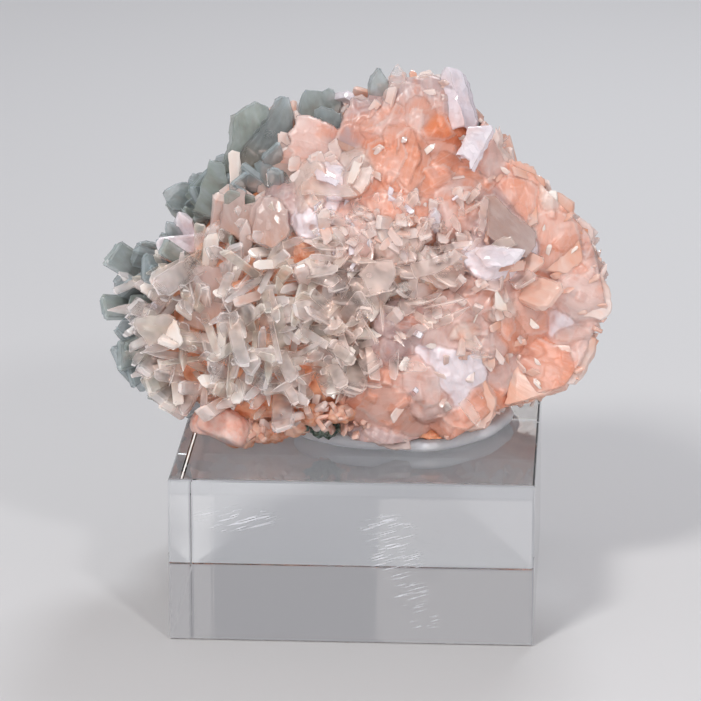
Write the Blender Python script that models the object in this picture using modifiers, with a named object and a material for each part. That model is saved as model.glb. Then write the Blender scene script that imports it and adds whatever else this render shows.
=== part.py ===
"""A stilbite cluster, pressed with white putty onto a clear acrylic block.

The origin is the middle of the block's bottom face, +Z is up and the front looks along -Y.
Lengths are in millimetres until a mesh is made. Places on the cluster are read as they are seen from
its front, in a picture plane that is square to the line of sight: u to the right, v upward, and the
depth behind that plane. sight() turns them into places on the object.
"""

import math
import random

import bmesh
import bpy
import numpy as np
from mathutils import Matrix, Vector

MM = 0.001

BLOCK_SIDE = 76.0
BLOCK_HEIGHT = 35.0
BLOCK_BEVEL = 0.5
TOUCH_GAP = 0.3

PUTTY_CENTRE = (7.9, 3.6)
PUTTY_RADII = (24.0, 22.0)
PUTTY_HEIGHT = 3.3
PUTTY_WAVE = 0.7
PUTTY_SIDES = 30

LOOK_TURN = math.radians(3.4)
LOOK_TILT = math.radians(16.0)
LOOK_DISTANCE = 970.0
LOOK_AT = np.array((-2.85, 9.1, 49.8))

HEART = (-2.0, 14.0)
CORE_FRONT = 28.0
CORE_BACK = 25.0
RIM_DEPTH = -7.0
RIM_SLOPE = -0.2
CORE_RINGS = 10
CORE_SPOKES = 20
CORE_LUMP = 1.1
ROOT_SINK = 1.5
STAND_OUT = 3.0
WIDE_CRYSTAL = 8.5
MERGE = 0.0001
BASE_HEIGHT = BLOCK_HEIGHT + TOUCH_GAP + PUTTY_HEIGHT + TOUCH_GAP
CORE_FLOOR = BASE_HEIGHT + 0.1
CRYSTAL_FLOOR = BLOCK_HEIGHT + 1.3
POCKET_FLOOR = BLOCK_HEIGHT - 5.0

RIGHT = np.array((math.cos(LOOK_TURN), math.sin(LOOK_TURN), 0.0))
UP = np.array((
    -math.sin(LOOK_TURN) * math.sin(LOOK_TILT),
    math.cos(LOOK_TURN) * math.sin(LOOK_TILT),
    math.cos(LOOK_TILT),
))
AWAY = np.cross(UP, RIGHT)

# The silhouette seen from the front, anticlockwise from the right: u, v, how far the core stays inside
# it, and how boxy the core's bulge is there.
SILHOUETTE = np.array((
    (56, 9, 9, 2.2), (54.5, 17.5, 8, 2.2), (52.5, 25, 7, 2.2), (48, 30, 6, 2.2), (44, 34, 5, 2.2),
    (40, 38.5, 5, 2.2), (34, 41.5, 5, 2.3), (30.5, 48, 8, 2.4), (25, 58, 11, 2.5), (21.5, 61.5, 12, 2.5),
    (16, 59.5, 9, 2.5), (10, 60, 10, 2.5), (3, 55, 7, 2.5), (-4, 56, 9, 2.5), (-13, 54.5, 10, 2.5),
    (-22, 53, 12, 2.6), (-26, 44, 7, 2.7), (-31, 40, 7, 2.8), (-39, 34.5, 10, 2.9), (-37, 28, 6, 3.0),
    (-42, 24, 6, 3.2), (-50, 21, 8, 3.3), (-52, 14, 9, 3.4), (-53, 9, 9, 3.5), (-50, 2, 7, 3.5),
    (-48.5, -5, 7, 3.5), (-42, -9, 5, 3.8), (-36, -13, 4, 4.2), (-33, -20, 5, 4.6), (-26, -22, 5, 5.0),
    (-15, -19.5, 3, 5.0), (-5, -19, 3, 5.0), (5, -21, 4, 5.0), (15, -23, 6, 4.6), (25, -18.5, 4, 4.2),
    (31, -14, 4, 3.6), (40, -10, 4, 3.0), (47, -8, 5, 2.6), (51, -2, 6, 2.4), (53, 3, 8, 2.3),
))

# How a crystal ends: its root's share of the full width, how far up the taper starts, and the end's
# share of the width and of the thickness.
ENDINGS = {
    "point": (0.8, 0.62, 0.0, 0.0),
    "chisel": (0.85, 0.8, 0.72, 0.0),
    "round": (0.7, 0.74, 0.5, 0.4),
    "blunt": (0.85, 0.88, 0.8, 0.6),
    "fan": (0.35, 0.88, 0.88, 0.5),
}

# Crystals read from the photograph, region by region. Each row is the root's u and v, the tip's u and
# v, the width, the thickness, how far the tip leans towards the viewer, the turn about its own length
# in degrees, how far behind the core's face it stands, and its ending.
LEFT_BACK = (
    (-42, 15, -52, 21.3, 6.5, 3, 0, 10, 5, "blunt"),
    (-42, 17, -45.5, 23.6, 7, 3, 0, -10, 6, "point"),
    (-43, 9, -53.6, 9.3, 5.5, 3, 1, 20, 4, "blunt"),
    (-43, 12, -51, 15, 5, 3, 2, 0, 4, "point"),
    (-42, 4, -50.8, 4.5, 5, 3, 1, 20, 4, "point"),
    (-41, 1, -50.3, -1.5, 6.5, 4, 1, 10, 4, "blunt"),
    (-41, -1, -48.3, -6.2, 5, 3, 1, 0, 4, "blunt"),
    (-39, -3, -46, -7, 4.5, 3, 0, 0, 5, "blunt"),
    (-37, -5, -41.5, -11.2, 5, 3, 0, 0, 4, "blunt"),
    (-34, -8, -38.2, -13.8, 5, 3, 1, 0, 3, "blunt"),
    (-43, 12, -49, 14.3, 5, 2.5, 3, -30, 2, "chisel"),
    (-34, 14, -45, 18, 6, 3, 1, 20, 2, "blunt"),
    (-29, 31, -40.5, 34.2, 6.5, 2.5, 0, 0, 3, "point"),
    (-28, 32, -32.6, 37.6, 5.5, 2.5, 0, 0, 4, "blunt"),
    (-34, 22, -36.9, 29.8, 4.2, 1.8, 2, 0, 0, "point"),
    (-32.5, 25, -35.6, 31, 3.5, 2, 0, 0, 2, "point"),
    (-35, 21, -39.7, 27.8, 3.2, 1.6, 1, 0, 1, "point"),
    (-35, 19, -42, 23.8, 3.5, 1.6, 1, 0, 2, "point"),
    (-25, 31, -30.2, 41.5, 5.8, 2.5, 1, 0, 2, "blunt"),
    (-23, 34, -25.8, 43.5, 3.2, 1.6, 2, 0, 1, "point"),
    (-21, 36, -25, 51.7, 5.5, 3, 0, 0, 6, "blunt"),
    (-19, 37, -20.2, 53.9, 8, 3, 0, 0, 6, "blunt"),
    (-17, 36, -14.2, 55.2, 9.5, 3.5, 2, -5, 3, "point"),
    (-12, 42, -11.5, 52.5, 4.5, 3, 0, 0, 4, "blunt"),
    (-9, 43, -10, 56.2, 6, 3, 0, 0, 5, "blunt"),
    (-5, 43, -5, 56.5, 6.5, 3, 0, 0, 6, "blunt"),
    (-2.5, 43, -2, 54, 5, 3, 0, 0, 5, "blunt"),
    (-5.8, 53.6, 0.5, 54.2, 3.2, 1.4, 3, 60, 2, "blunt"),
    (-21, 39, -14, 37.5, 5.5, 2.5, 4, 0, 0, "chisel"),
    (-25.5, 24, -22.5, 35.2, 5, 2.5, 3, 0, 0, "round"),
    (-19.3, 20, -18, 33.6, 6.5, 2.5, 4, 0, 0, "round"),
    (-22.6, 19, -22.4, 28.2, 3, 1.6, 3, 0, 0, "point"),
    (-28.5, 25, -27.2, 34, 5, 3, 2, 20, 0, "round"),
    (-14, 23, -12.8, 32, 4.5, 2.2, 2, 0, 0, "round"),
)
CREST = (
    (6, 46, 6.2, 60.8, 4.8, 2.6, 0, 10, 1, "point"),
    (10, 47, 10, 62, 4.8, 2.4, 1, 0, 2, "point"),
    (13.3, 49, 13.5, 58.9, 3.4, 2, 1, 0, 2, "round"),
    (16.2, 48, 16.1, 60.3, 4.2, 2.4, 1, 0, 2, "round"),
    (18.8, 47, 18.7, 59, 3.8, 2.6, 2, 0, 1, "round"),
    (23, 43, 21.7, 62.4, 9.5, 6.5, 1, 15, 1, "point"),
    (25.6, 43, 25.6, 56.5, 5.5, 4, 0, 0, 1, "point"),
    (12, 44, 12.6, 58.6, 10.5, 3, 3, 0, 0, "round"),
    (0.2, 41, 1.7, 56, 9, 3.6, 2, 0, 0, "point"),
    (15, 44, 13.7, 52, 3, 1.8, 4, 0, 0, "point"),
    (5, 43, 4.6, 51.4, 4.5, 2.2, 3, 0, 0, "round"),
    (9, 43, 9.2, 53.4, 6.5, 2.6, 3, 0, 0, "chisel"),
    (17, 39, 18.8, 52.2, 8.5, 6, 3, 0, 0, "round"),
    (23, 39.5, 28.8, 49.4, 7.5, 2.6, 5, -15, 0, "chisel"),
    (29, 38, 31.8, 46.5, 5.5, 2.8, 1, 0, 0, "blunt"),
    (-2, 43, -11.4, 50.8, 5, 2.2, 3, 0, 0, "blunt"),
    (-2, 43, -13, 46.6, 4.6, 2.4, 4, 0, 0, "blunt"),
    (-2, 42.5, -13.4, 43, 4.6, 2.6, 4, 0, 0, "blunt"),
    (-2, 42, -12, 39.4, 4.2, 2.2, 4, 0, 0, "round"),
    (3, 34, 8, 46, 9, 6, 4, 20, 0, "round"),
    (12, 32, 10, 44, 9, 6, 5, -20, 0, "round"),
    (20, 32, 23.5, 42.5, 8.5, 5, 4, 10, 0, "round"),
    (10, 26, 5, 35, 8, 5, 4, 0, 0, "round"),
    (17, 27, 15, 37, 8.5, 5, 5, 15, 0, "round"),
    (24, 29, 29.5, 38.5, 6.5, 3.4, 3, 0, 0, "round"),
)
CENTRE = (
    (-7.4, 38, -8.8, 27, 3.9, 3.3, 6, 35, 0, "blunt"),
    (-8.5, 38.6, -2.2, 36.4, 2.5, 1.5, 4, 0, 0, "chisel"),
    (-8, 35, 2, 33, 2.7, 1.3, 5, 0, 0, "blunt"),
    (-1.4, 35.5, 2.4, 42.2, 2.5, 1.5, 5, 0, 0, "point"),
    (0.5, 35.5, 4.6, 40.2, 3, 1.5, 5, 0, 0, "round"),
    (0.2, 34.8, 2.1, 29.2, 2.4, 1.5, 5, 0, 0, "round"),
    (-5.4, 21.5, -5.8, 30.3, 3, 1.5, 5, 0, 0, "chisel"),
    (8.2, 21, 5, 27.8, 2.7, 1.3, 5, 0, 0, "round"),
    (17.4, 24, 18.4, 30.5, 2.9, 1.8, 5, 0, 0, "point"),
    (20.5, 24, 26.5, 35, 5.5, 1.8, 4, 0, 0, "chisel"),
    (27, 30, 40.4, 25, 9.5, 2.4, 4, 0, 0, "point"),
    (26.5, 20.6, 35.4, 20.6, 5, 2, 5, -10, 0, "blunt"),
    (30.5, 25, 35.2, 22.3, 5, 4, 4, 0, 0, "round"),
    (33, 19, 38.4, 14.4, 5, 1.8, 3, 0, 0, "round"),
    (30.6, 20, 30.2, 12.4, 3.6, 1.5, 4, 0, 0, "round"),
    (22, 20, 20, 14.4, 5.5, 1.8, 4, 0, 0, "round"),
    (27.5, 7.5, 20.6, 0.8, 5.2, 2, 4, 0, 0, "round"),
    (31.8, 10, 28.4, 3.6, 5.8, 2.2, 3, 0, 0, "round"),
    (19, 8, 18.2, 0.8, 6.5, 3.4, 1, 0, 0, "blunt"),
    (10.2, 4.5, 9.6, -3.6, 7.2, 5, 2, 15, 0, "blunt"),
)
FRONT_LEFT = (
    (-30.5, 23.4, -41.4, 22.2, 4.2, 1.8, 4, 0, 0, "chisel"),
    (-28.5, 21.5, -42.6, 12.4, 5, 2, 6, 0, 0, "chisel"),
    (-36, 15.2, -34.6, 8.2, 2.3, 1.4, 6, 0, 0, "point"),
    (-40, 5.5, -47, 10, 3.8, 2.4, 3, 0, 0, "round"),
    (-39, 6.6, -47.3, 5.8, 2.8, 1.4, 6, 0, 0, "point"),
    (-41, -0.5, -45.8, 5, 3, 1.4, 4, 0, 0, "chisel"),
    (-36.5, 6, -39.4, 1.6, 4.2, 1.4, 6, 0, 0, "blunt"),
    (-40.5, -0.5, -44.7, -4.8, 3.8, 1.7, 4, 0, 0, "blunt"),
    (-38, -4, -43.2, -7.4, 4.6, 3, 4, 0, 0, "chisel"),
    (-37.5, -5.5, -41.6, -10, 4.4, 2.4, 4, 0, 0, "blunt"),
    (-36, -7, -39.3, -11.8, 3.6, 2.2, 4, 0, 0, "blunt"),
    (-34.5, -8, -36.2, -13.6, 2.8, 1.8, 4, 0, 0, "point"),
    (-29.5, -8.6, -36.6, -8, 3, 1.6, 5, 0, 0, "round"),
    (-29.5, 8, -25.6, 17.2, 2.3, 1.2, 6, 0, 0, "chisel"),
    (-26.6, 10.6, -23, -3, 3.2, 1.2, 7, 0, 0, "round"),
    (-17.6, 12.6, -25.6, 10.1, 2.3, 1.2, 6, 0, 0, "chisel"),
    (-9, 12.5, -10.6, 17.5, 3.2, 1.3, 5, 0, 0, "round"),
    (0, 9, -12, 8.7, 4.4, 1.6, 6, 0, 0, "round"),
    (-17.3, 2.8, -17.8, -7.2, 1.8, 1.1, 7, 0, 0, "point"),
    (-16, 1.8, -12.2, -6.5, 3.1, 1.3, 6, 0, 0, "chisel"),
    (-26, 3.2, -20.6, -3.8, 4.4, 1.8, 6, 0, 0, "round"),
    (-23.6, -6.2, -30.8, -3.1, 2.8, 1.3, 5, 0, 0, "chisel"),
    (-24.4, -4.4, -18, -7, 3.5, 1.4, 6, 0, 0, "blunt"),
    (-22, -11.2, -29.2, -7.8, 3.2, 1.4, 4, 0, 0, "chisel"),
    (-14.8, -8, -14.5, -17.2, 4.8, 2.2, 6, 0, 0, "round"),
    (-25.8, 5.2, -20.8, 9.2, 4.4, 1.3, 5, 0, 0, "round"),
    (-24.5, 14, -25, 22.4, 3.5, 1.8, 4, 0, 0, "blunt"),
    (-8.8, 4.2, 0.6, -2.2, 2.7, 1.3, 8, 0, 0, "chisel"),
    (-2, 5, 4.3, 12.2, 5.2, 1.8, 6, 0, 0, "round"),
    (5, 2.8, 11.4, 9, 3.1, 1.4, 6, 0, 0, "chisel"),
    (7.5, 18.5, 7.4, 11.8, 4.2, 1.4, 5, 0, 0, "round"),
    (2, 18, 5.2, 11.8, 4.8, 1.5, 5, 0, 0, "round"),
    (-3, 17, -2.5, 12.4, 4.2, 1.6, 5, 0, 0, "chisel"),
    (8, 6.8, 15.8, 4.8, 4, 1.6, 5, 0, 0, "round"),
    (13.4, 13.5, 11.5, 7.7, 3.8, 1.4, 4, 0, 0, "point"),
    (2.6, 0, 5.2, -4.4, 4.6, 1.8, 6, 0, 0, "round"),
    (-5.2, -1, -1.4, -8, 3.2, 1.7, 7, 0, 0, "chisel"),
    (-7, -2.5, -3.8, -9, 4.2, 1.6, 5, 0, 0, "round"),
    (2.2, -1, 0.8, -8.7, 4.8, 1.8, 6, 0, 0, "round"),
)
RIGHT_SIDE = (
    (32, 34, 36.5, 40.8, 6.5, 5, 1, 0, 0, "round"),
    (35.5, 33, 40.4, 39.5, 5.5, 4.5, 1, 0, 0, "round"),
    (39, 30, 44.4, 34.3, 6.5, 4.5, 1, 0, 0, "round"),
    (41.5, 26, 47.9, 31.6, 5.5, 4, 1, 0, 0, "round"),
    (46, 19, 49.9, 28.6, 4.8, 2.6, 1, 0, 0, "round"),
    (46, 16, 52.7, 26.2, 4.6, 2.6, 0, 0, 1, "round"),
    (46, 13, 54.6, 17.8, 4.6, 2.6, 0, 0, 1, "round"),
    (43.5, 14, 56.6, 8.9, 9, 4.4, 2, 0, 0, "round"),
    (43, 7, 51.9, 5.4, 4.4, 3, 0, 0, 1, "blunt"),
    (41, 3, 53.1, 2.2, 5.5, 3.4, 1, 0, 0, "round"),
    (37, 2, 50.8, -4, 9, 3.6, 2, 0, 0, "blunt"),
    (34, -3, 47.2, -8.4, 6.5, 3.4, 2, 0, 0, "blunt"),
    (31, -5, 40.2, -10.4, 5.5, 3.2, 2, 0, 0, "blunt"),
    (40, 17, 37.6, 29.6, 6.5, 3.4, 3, 15, 0, "fan"),
    (43, 16, 42.2, 30, 6.8, 3.2, 3, -10, 0, "fan"),
    (45.6, 17, 46.6, 29.4, 6, 3, 2, 0, 0, "fan"),
    (35.5, 26, 36.5, 37.8, 8, 5.5, 3, 0, 0, "blunt"),
    (43.5, 23, 43.2, 34.6, 5, 3, 1, 0, 0, "blunt"),
    (32, 10, 42.5, 4.4, 8.5, 4, 4, 10, 0, "round"),
    (33, 15, 44.6, 11, 7, 3.6, 3, -10, 0, "round"),
    (33, 3, 44, -2.4, 8.5, 4, 3, 0, 0, "round"),
    (34, 21, 40.5, 17.4, 5.5, 3, 3, 0, 0, "round"),
)
LOWER = (
    (14, -9.6, 1.6, -12.4, 4.4, 2.4, 6, 0, -2, "blunt"),
    (14, -8.8, 2.9, -9.8, 4.4, 2.4, 6, 0, -2, "blunt"),
    (14, -8, 4.2, -7.4, 4.2, 2.4, 6, 0, -2, "blunt"),
    (14.5, -7, 7.2, -6.4, 4, 2.4, 6, 0, -2, "blunt"),
    (18, -4.6, 7.6, -5.6, 3, 2, 5, 0, -2, "point"),
    (25.5, -1, 22.8, -16.8, 13, 9, 0, 0, -1, "round"),
    (22.5, 0.5, 21, -12, 7, 3, 3, -12, -2, "blunt"),
    (29, -1, 32.6, -10, 7.5, 5, 0, 0, 0, "round"),
    (26.5, -8, 31.4, -14, 6, 5, 1, 0, 0, "round"),
    (9, -9, 17, -22.6, 10, 8, 1, 0, -3, "round"),
    (6, -14, 9.6, -21.8, 8.5, 6, 0, 0, 0, "round"),
    (-26.8, -9, -27.4, -21.8, 11.5, 9, 0, 12, -3, "round"),
    (-22, -10, -30.5, -14.5, 5.5, 4, 3, 0, -3, "round"),
)
# Lumps of the crust along the foot of the front: u, v, radius, and how far in front of the core's face.
CRUST = (
    (-32.6, -16.6, 2.6, 5), (-23.4, -18.6, 3.4, 5), (-19.6, -18, 2.6, 4), (-15.8, -17.6, 2.8, 4),
    (-12.2, -16.4, 2.6, 4), (-8.6, -14.2, 2.8, 4), (-5.8, -16.6, 3.2, 4), (-2.4, -14, 3.2, 4),
    (-0.6, -16.4, 2.6, 3), (2.2, -15.8, 2.2, 2), (14.8, -21.6, 2.8, 7), (19.4, -19.8, 3.2, 6),
    (29.6, -13.6, 2.8, 3), (21.4, -17.8, 2.8, 4),
)

# Crystals nobody sees in the photograph, scattered over the sides, the top, the back and the underside.
HIDDEN_SEED = 17
HIDDEN_COUNT = 82
HIDDEN_LENGTH = (6.0, 12.0)
HIDDEN_WIDTH = (5.0, 9.5)
HIDDEN_SWING = (1.4, 3.1)
HIDDEN_SPACING = 6.2
LOWEST_TIP = BASE_HEIGHT + 1.0


def sight(u, v, depth):
    """Picture plane to object: straight out along the line of sight, with what is farther drawn smaller."""
    u, v, depth = (np.asarray(value, float)[..., None] for value in (u, v, depth))
    return LOOK_AT + (RIGHT * u + UP * v) * (1 + depth / LOOK_DISTANCE) + AWAY * depth


def seen(points):
    """Object to picture plane: the u, v and depth of a place, which undoes sight()."""
    away = points - LOOK_AT
    depth = away @ AWAY
    return (away @ RIGHT) / (1 + depth / LOOK_DISTANCE), (away @ UP) / (1 + depth / LOOK_DISTANCE), depth


def around(angle):
    """The silhouette's radius from the heart, the core's radius and its boxiness, in one direction."""
    across = SILHOUETTE[:, 0] - HEART[0]
    up = SILHOUETTE[:, 1] - HEART[1]
    corner = np.arctan2(up, across)
    reach = np.interp(angle, corner, np.hypot(across, up), period=2 * math.pi)
    inset = np.interp(angle, corner, SILHOUETTE[:, 2], period=2 * math.pi)
    boxy = np.interp(angle, corner, SILHOUETTE[:, 3], period=2 * math.pi)
    return reach, reach - inset, boxy


def core_surface(angle, swing):
    """A bulging lens: angle goes round the heart, swing goes from the front pole over the rim to the back.

    The picture radius is the outline's, times sin(swing) to the power 2 / boxy, and the depth follows
    cos(swing) to the same power. Sine waves add lumps, and the underside is pressed flat.
    """
    _, radius, boxy = around(angle)
    side = np.abs(np.sin(swing)) ** (2 / boxy)
    ahead = np.sign(np.cos(swing)) * np.abs(np.cos(swing)) ** (2 / boxy)
    lump = CORE_LUMP * np.sin(swing) * np.sin(7 * angle + 1) * np.sin(5 * swing + 2)
    u = HEART[0] + (side * radius + lump) * np.cos(angle)
    v = HEART[1] + (side * radius + lump) * np.sin(angle)
    depth = RIM_DEPTH + RIM_SLOPE * (v - HEART[1]) - np.where(ahead > 0, CORE_FRONT, CORE_BACK) * ahead
    points = sight(u, v, depth)
    points[..., 2] = np.maximum(points[..., 2], CORE_FLOOR)
    return points


def face_depth(u, v):
    """Depth of the core's front face behind a place in the picture plane."""
    _, radius, boxy = around(math.atan2(v - HEART[1], u - HEART[0]))
    share = min(math.hypot(u - HEART[0], v - HEART[1]) / radius, 0.985)
    return RIM_DEPTH + RIM_SLOPE * (v - HEART[1]) - CORE_FRONT * (1 - share ** boxy) ** (1 / boxy)


def add_crystal(mesh, root, tip, width, thick, turn, ending, sides):
    """A flat prism on a bmesh, tapered at both ends, from root to tip with its broad face to the viewer."""
    root_share, shoulder, end_width, end_thick = ENDINGS[ending]
    prism = bmesh.ops.create_cone(mesh, cap_ends=True, segments=sides, radius1=0.5, radius2=0.5, depth=1.0)
    corners = prism["verts"]
    if sides == 4:
        bmesh.ops.rotate(mesh, verts=corners, cent=(0, 0, 0), matrix=Matrix.Rotation(math.pi / 4, 3, "Z"))
        bmesh.ops.scale(mesh, verts=corners, vec=(math.sqrt(2), math.sqrt(2), 1))
    top = [v for v in corners if v.co.z > 0]
    cap = next(f for f in top[0].link_faces if all(v in top for v in f.verts))
    for corner in corners:
        corner.co.z = shoulder if corner.co.z > 0 else 0.0
    bmesh.ops.scale(mesh, verts=[v for v in corners if v.co.z == 0.0], vec=(root_share, root_share, 1))
    end = bmesh.ops.extrude_discrete_faces(mesh, faces=[cap])["faces"][0]
    for corner in end.verts:
        corner.co = (corner.co.x * end_width, corner.co.y * end_thick, 1.0)
    end_corners = list(end.verts)
    if end_thick == 0.0:
        bmesh.ops.remove_doubles(mesh, verts=end_corners, dist=MERGE)
        end_corners = [corner for corner in end_corners if corner.is_valid]
    axis = Vector(tip - root)
    length = axis.length
    axis.normalize()
    broad = axis.cross(Vector(AWAY)).normalized()
    frame = Matrix((broad, axis.cross(broad), axis)).transposed().to_4x4()
    stand = Matrix.Translation(Vector(root)) @ frame @ Matrix.Rotation(math.radians(turn), 4, "Z")
    size = Matrix.Diagonal((width, thick, length, 1.0))
    bmesh.ops.transform(mesh, matrix=stand @ size, verts=corners + end_corners)


def add_read_crystals(mesh):
    """Every crystal that was read from the photograph, its root sunk into the core."""
    rows = LEFT_BACK + CREST + CENTRE + FRONT_LEFT + RIGHT_SIDE + LOWER
    for u0, v0, u1, v1, width, thick, lean, turn, back, ending in rows:
        depth = face_depth(u0, v0) + back
        root = sight(u0, v0, depth + ROOT_SINK + 0.3 * width)
        tip = sight(u1, v1, depth - STAND_OUT - lean)
        add_crystal(mesh, root, tip, width, thick, turn, ending, 6 if width >= WIDE_CRYSTAL else 4)
    return len(rows)


def add_crust(mesh):
    """Rough lumps along the foot of the front."""
    for u, v, radius, ahead in CRUST:
        centre = sight(u, v, face_depth(u, v) - ahead + radius)
        place = Matrix.Translation(Vector(centre)) @ Matrix.Rotation(u, 4, "X")
        bmesh.ops.create_icosphere(mesh, subdivisions=1, radius=radius * 1.15, matrix=place)


def add_hidden_crystals(mesh):
    """Seeded crystals that stand out of the core where the photograph doesn't look."""
    chance = random.Random(HIDDEN_SEED)
    taken = []
    step = 0.01
    while len(taken) < HIDDEN_COUNT:
        angle = chance.uniform(-math.pi, math.pi)
        swing = chance.uniform(*HIDDEN_SWING)
        root = core_surface(angle, swing)
        if root[2] < LOWEST_TIP or any(np.linalg.norm(root - other) < HIDDEN_SPACING for other in taken):
            if chance.random() < 0.002:
                break
            continue
        across = core_surface(angle + step, swing) - root
        along = core_surface(angle, swing + step) - root
        outward = np.cross(along, across)
        outward /= np.linalg.norm(outward)
        if outward @ (root - sight(*HEART, RIM_DEPTH)) < 0:
            outward = -outward
        stray = np.array([chance.gauss(0, 1) for _ in range(3)])
        stray /= np.linalg.norm(stray)
        axis = outward + 0.75 * stray
        axis /= np.linalg.norm(axis)
        length = chance.uniform(*HIDDEN_LENGTH)
        width = chance.uniform(*HIDDEN_WIDTH)
        u, v, _ = seen(root + axis * length)
        reach, _, _ = around(math.atan2(v - HEART[1], u - HEART[0]))
        outside = math.hypot(u - HEART[0], v - HEART[1]) - (reach - 0.35 * width)
        length -= max(0.0, outside)
        tip = root + axis * length
        if length < 0.5 * width or tip[2] < LOWEST_TIP:
            continue
        taken.append(root)
        ending = chance.choice(("chisel", "round", "blunt", "point", "blunt"))
        turn = chance.uniform(0, 180)
        add_crystal(mesh, root - axis * 4.0, tip, width, width * 0.45, turn, ending, 4)
    return len(taken)


def new_object(name, mesh, collection):
    """A bmesh in millimetres made an object in metres."""
    bmesh.ops.scale(mesh, verts=mesh.verts, vec=(MM, MM, MM))
    data = bpy.data.meshes.new(name)
    mesh.to_mesh(data)
    mesh.free()
    thing = bpy.data.objects.new(name, data)
    collection.objects.link(thing)
    return thing


def finish(thing, colour, roughness, **sockets):
    """One Principled material for one piece."""
    material = bpy.data.materials.new(thing.name)
    material.use_nodes = True
    shader = material.node_tree.nodes["Principled BSDF"]
    shader.inputs["Base Color"].default_value = (*colour, 1.0)
    shader.inputs["Roughness"].default_value = roughness
    shader.inputs["Metallic"].default_value = 0.0
    for socket, value in sockets.items():
        shader.inputs[socket.replace("_", " ")].default_value = value
    thing.data.materials.append(material)


def make_block(parts):
    """The acrylic block, its edges broken by a fine bevel."""
    mesh = bmesh.new()
    bmesh.ops.create_cube(mesh, size=1.0)
    bmesh.ops.scale(mesh, verts=mesh.verts, vec=(BLOCK_SIDE, BLOCK_SIDE, BLOCK_HEIGHT))
    bmesh.ops.translate(mesh, verts=mesh.verts, vec=(0, 0, BLOCK_HEIGHT / 2))
    block = new_object("acrylic_block", mesh, parts)
    bevel = block.modifiers.new("edges", "BEVEL")
    bevel.width = BLOCK_BEVEL * MM
    bevel.segments = 2
    finish(block, (0.92, 0.95, 1.0), 0.04, Transmission_Weight=1.0, IOR=1.49)


def putty_disc(grow, bottom, top, rounding):
    """A bmesh disc with a wavy rim, grown all round, its two edges rounded by a share of its radius."""
    mesh = bmesh.new()
    bmesh.ops.create_cone(mesh, cap_ends=True, segments=PUTTY_SIDES, radius1=1.0, radius2=1.0, depth=1.0)
    if rounding:
        rims = [e for e in mesh.edges if abs(e.verts[0].co.z - e.verts[1].co.z) < 0.1]
        bmesh.ops.bevel(mesh, geom=rims, offset=rounding, segments=2, profile=0.5, affect="EDGES")
    for point in mesh.verts:
        turn = math.atan2(point.co.y, point.co.x)
        wave = PUTTY_WAVE * (math.sin(5 * turn + 1) + 0.6 * math.sin(9 * turn))
        point.co.x = PUTTY_CENTRE[0] + point.co.x * (PUTTY_RADII[0] + wave + grow)
        point.co.y = PUTTY_CENTRE[1] + point.co.y * (PUTTY_RADII[1] + wave + grow)
        point.co.z = bottom + (point.co.z + 0.5) * (top - bottom)
    return mesh


def make_putty(parts):
    """A pressed disc of putty, its rim wavy where it was squeezed out."""
    bottom = BLOCK_HEIGHT + TOUCH_GAP
    putty = new_object("putty", putty_disc(0.0, bottom, bottom + PUTTY_HEIGHT, 0.045), parts)
    putty.data.shade_smooth()
    finish(putty, (0.80, 0.80, 0.86), 0.6)


def make_core(cutters):
    """The crust that everything grows from, shaped from a sphere."""
    mesh = bmesh.new()
    bmesh.ops.create_uvsphere(mesh, u_segments=CORE_SPOKES, v_segments=CORE_RINGS, radius=1.0)
    ball = np.array([v.co for v in mesh.verts])
    angle = np.arctan2(ball[:, 1], ball[:, 0])
    swing = np.arccos(np.clip(ball[:, 2], -1, 1))
    for vertex, place in zip(mesh.verts, core_surface(angle, swing)):
        vertex.co = place
    bmesh.ops.recalc_face_normals(mesh, faces=mesh.faces)
    return new_object("core", mesh, cutters)


def largest_body(mesh):
    """Keeps a bmesh's largest connected body and drops sealed pockets and crumbs."""
    left = set(mesh.verts)
    bodies = []
    while left:
        body = {left.pop()}
        edge = list(body)
        while edge:
            vertex = edge.pop()
            for link in vertex.link_edges:
                other = link.other_vert(vertex)
                if other in left:
                    left.remove(other)
                    body.add(other)
                    edge.append(other)
        bodies.append(body)
    bodies.sort(key=len)
    bmesh.ops.delete(mesh, geom=[v for body in bodies[:-1] for v in body], context="VERTS")


def make_cluster(parts, cutters):
    """Core, crystals and crust, grown together by an exact union."""
    core = make_core(cutters)
    mesh = bmesh.new()
    read = add_read_crystals(mesh)
    add_crust(mesh)
    hidden = add_hidden_crystals(mesh)
    for corner in mesh.verts:
        corner.co.z = max(corner.co.z, CRYSTAL_FLOOR)
    bmesh.ops.recalc_face_normals(mesh, faces=mesh.faces)
    crystals = new_object("crystals", mesh, cutters)
    print("crystals read from the photograph:", read, "hidden:", hidden)
    union = core.modifiers.new("grow together", "BOOLEAN")
    union.operation = "UNION"
    union.solver = "EXACT"
    union.use_self = True
    union.object = crystals
    pocket = new_object("pocket", putty_disc(TOUCH_GAP, POCKET_FLOOR, BASE_HEIGHT, 0.0), cutters)
    seat = core.modifiers.new("seat on the putty", "BOOLEAN")
    seat.operation = "DIFFERENCE"
    seat.solver = "EXACT"
    seat.object = pocket
    evaluated = core.evaluated_get(bpy.context.evaluated_depsgraph_get())
    mesh = bmesh.new()
    mesh.from_mesh(evaluated.to_mesh())
    bmesh.ops.scale(mesh, verts=mesh.verts, vec=(1 / MM, 1 / MM, 1 / MM))
    bmesh.ops.dissolve_verts(mesh, verts=[v for v in mesh.verts if len(v.link_edges) == 2])
    bmesh.ops.triangulate(mesh, faces=mesh.faces)
    largest_body(mesh)
    cluster = new_object("stilbite_cluster", mesh, parts)
    finish(cluster, (0.82, 0.46, 0.33), 0.4, Subsurface_Weight=0.4)
    for guide in (core, crystals, pocket):
        guide.hide_render = True
        guide.display_type = "WIRE"
    print("triangles in the cluster:", len(cluster.data.polygons))


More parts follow.
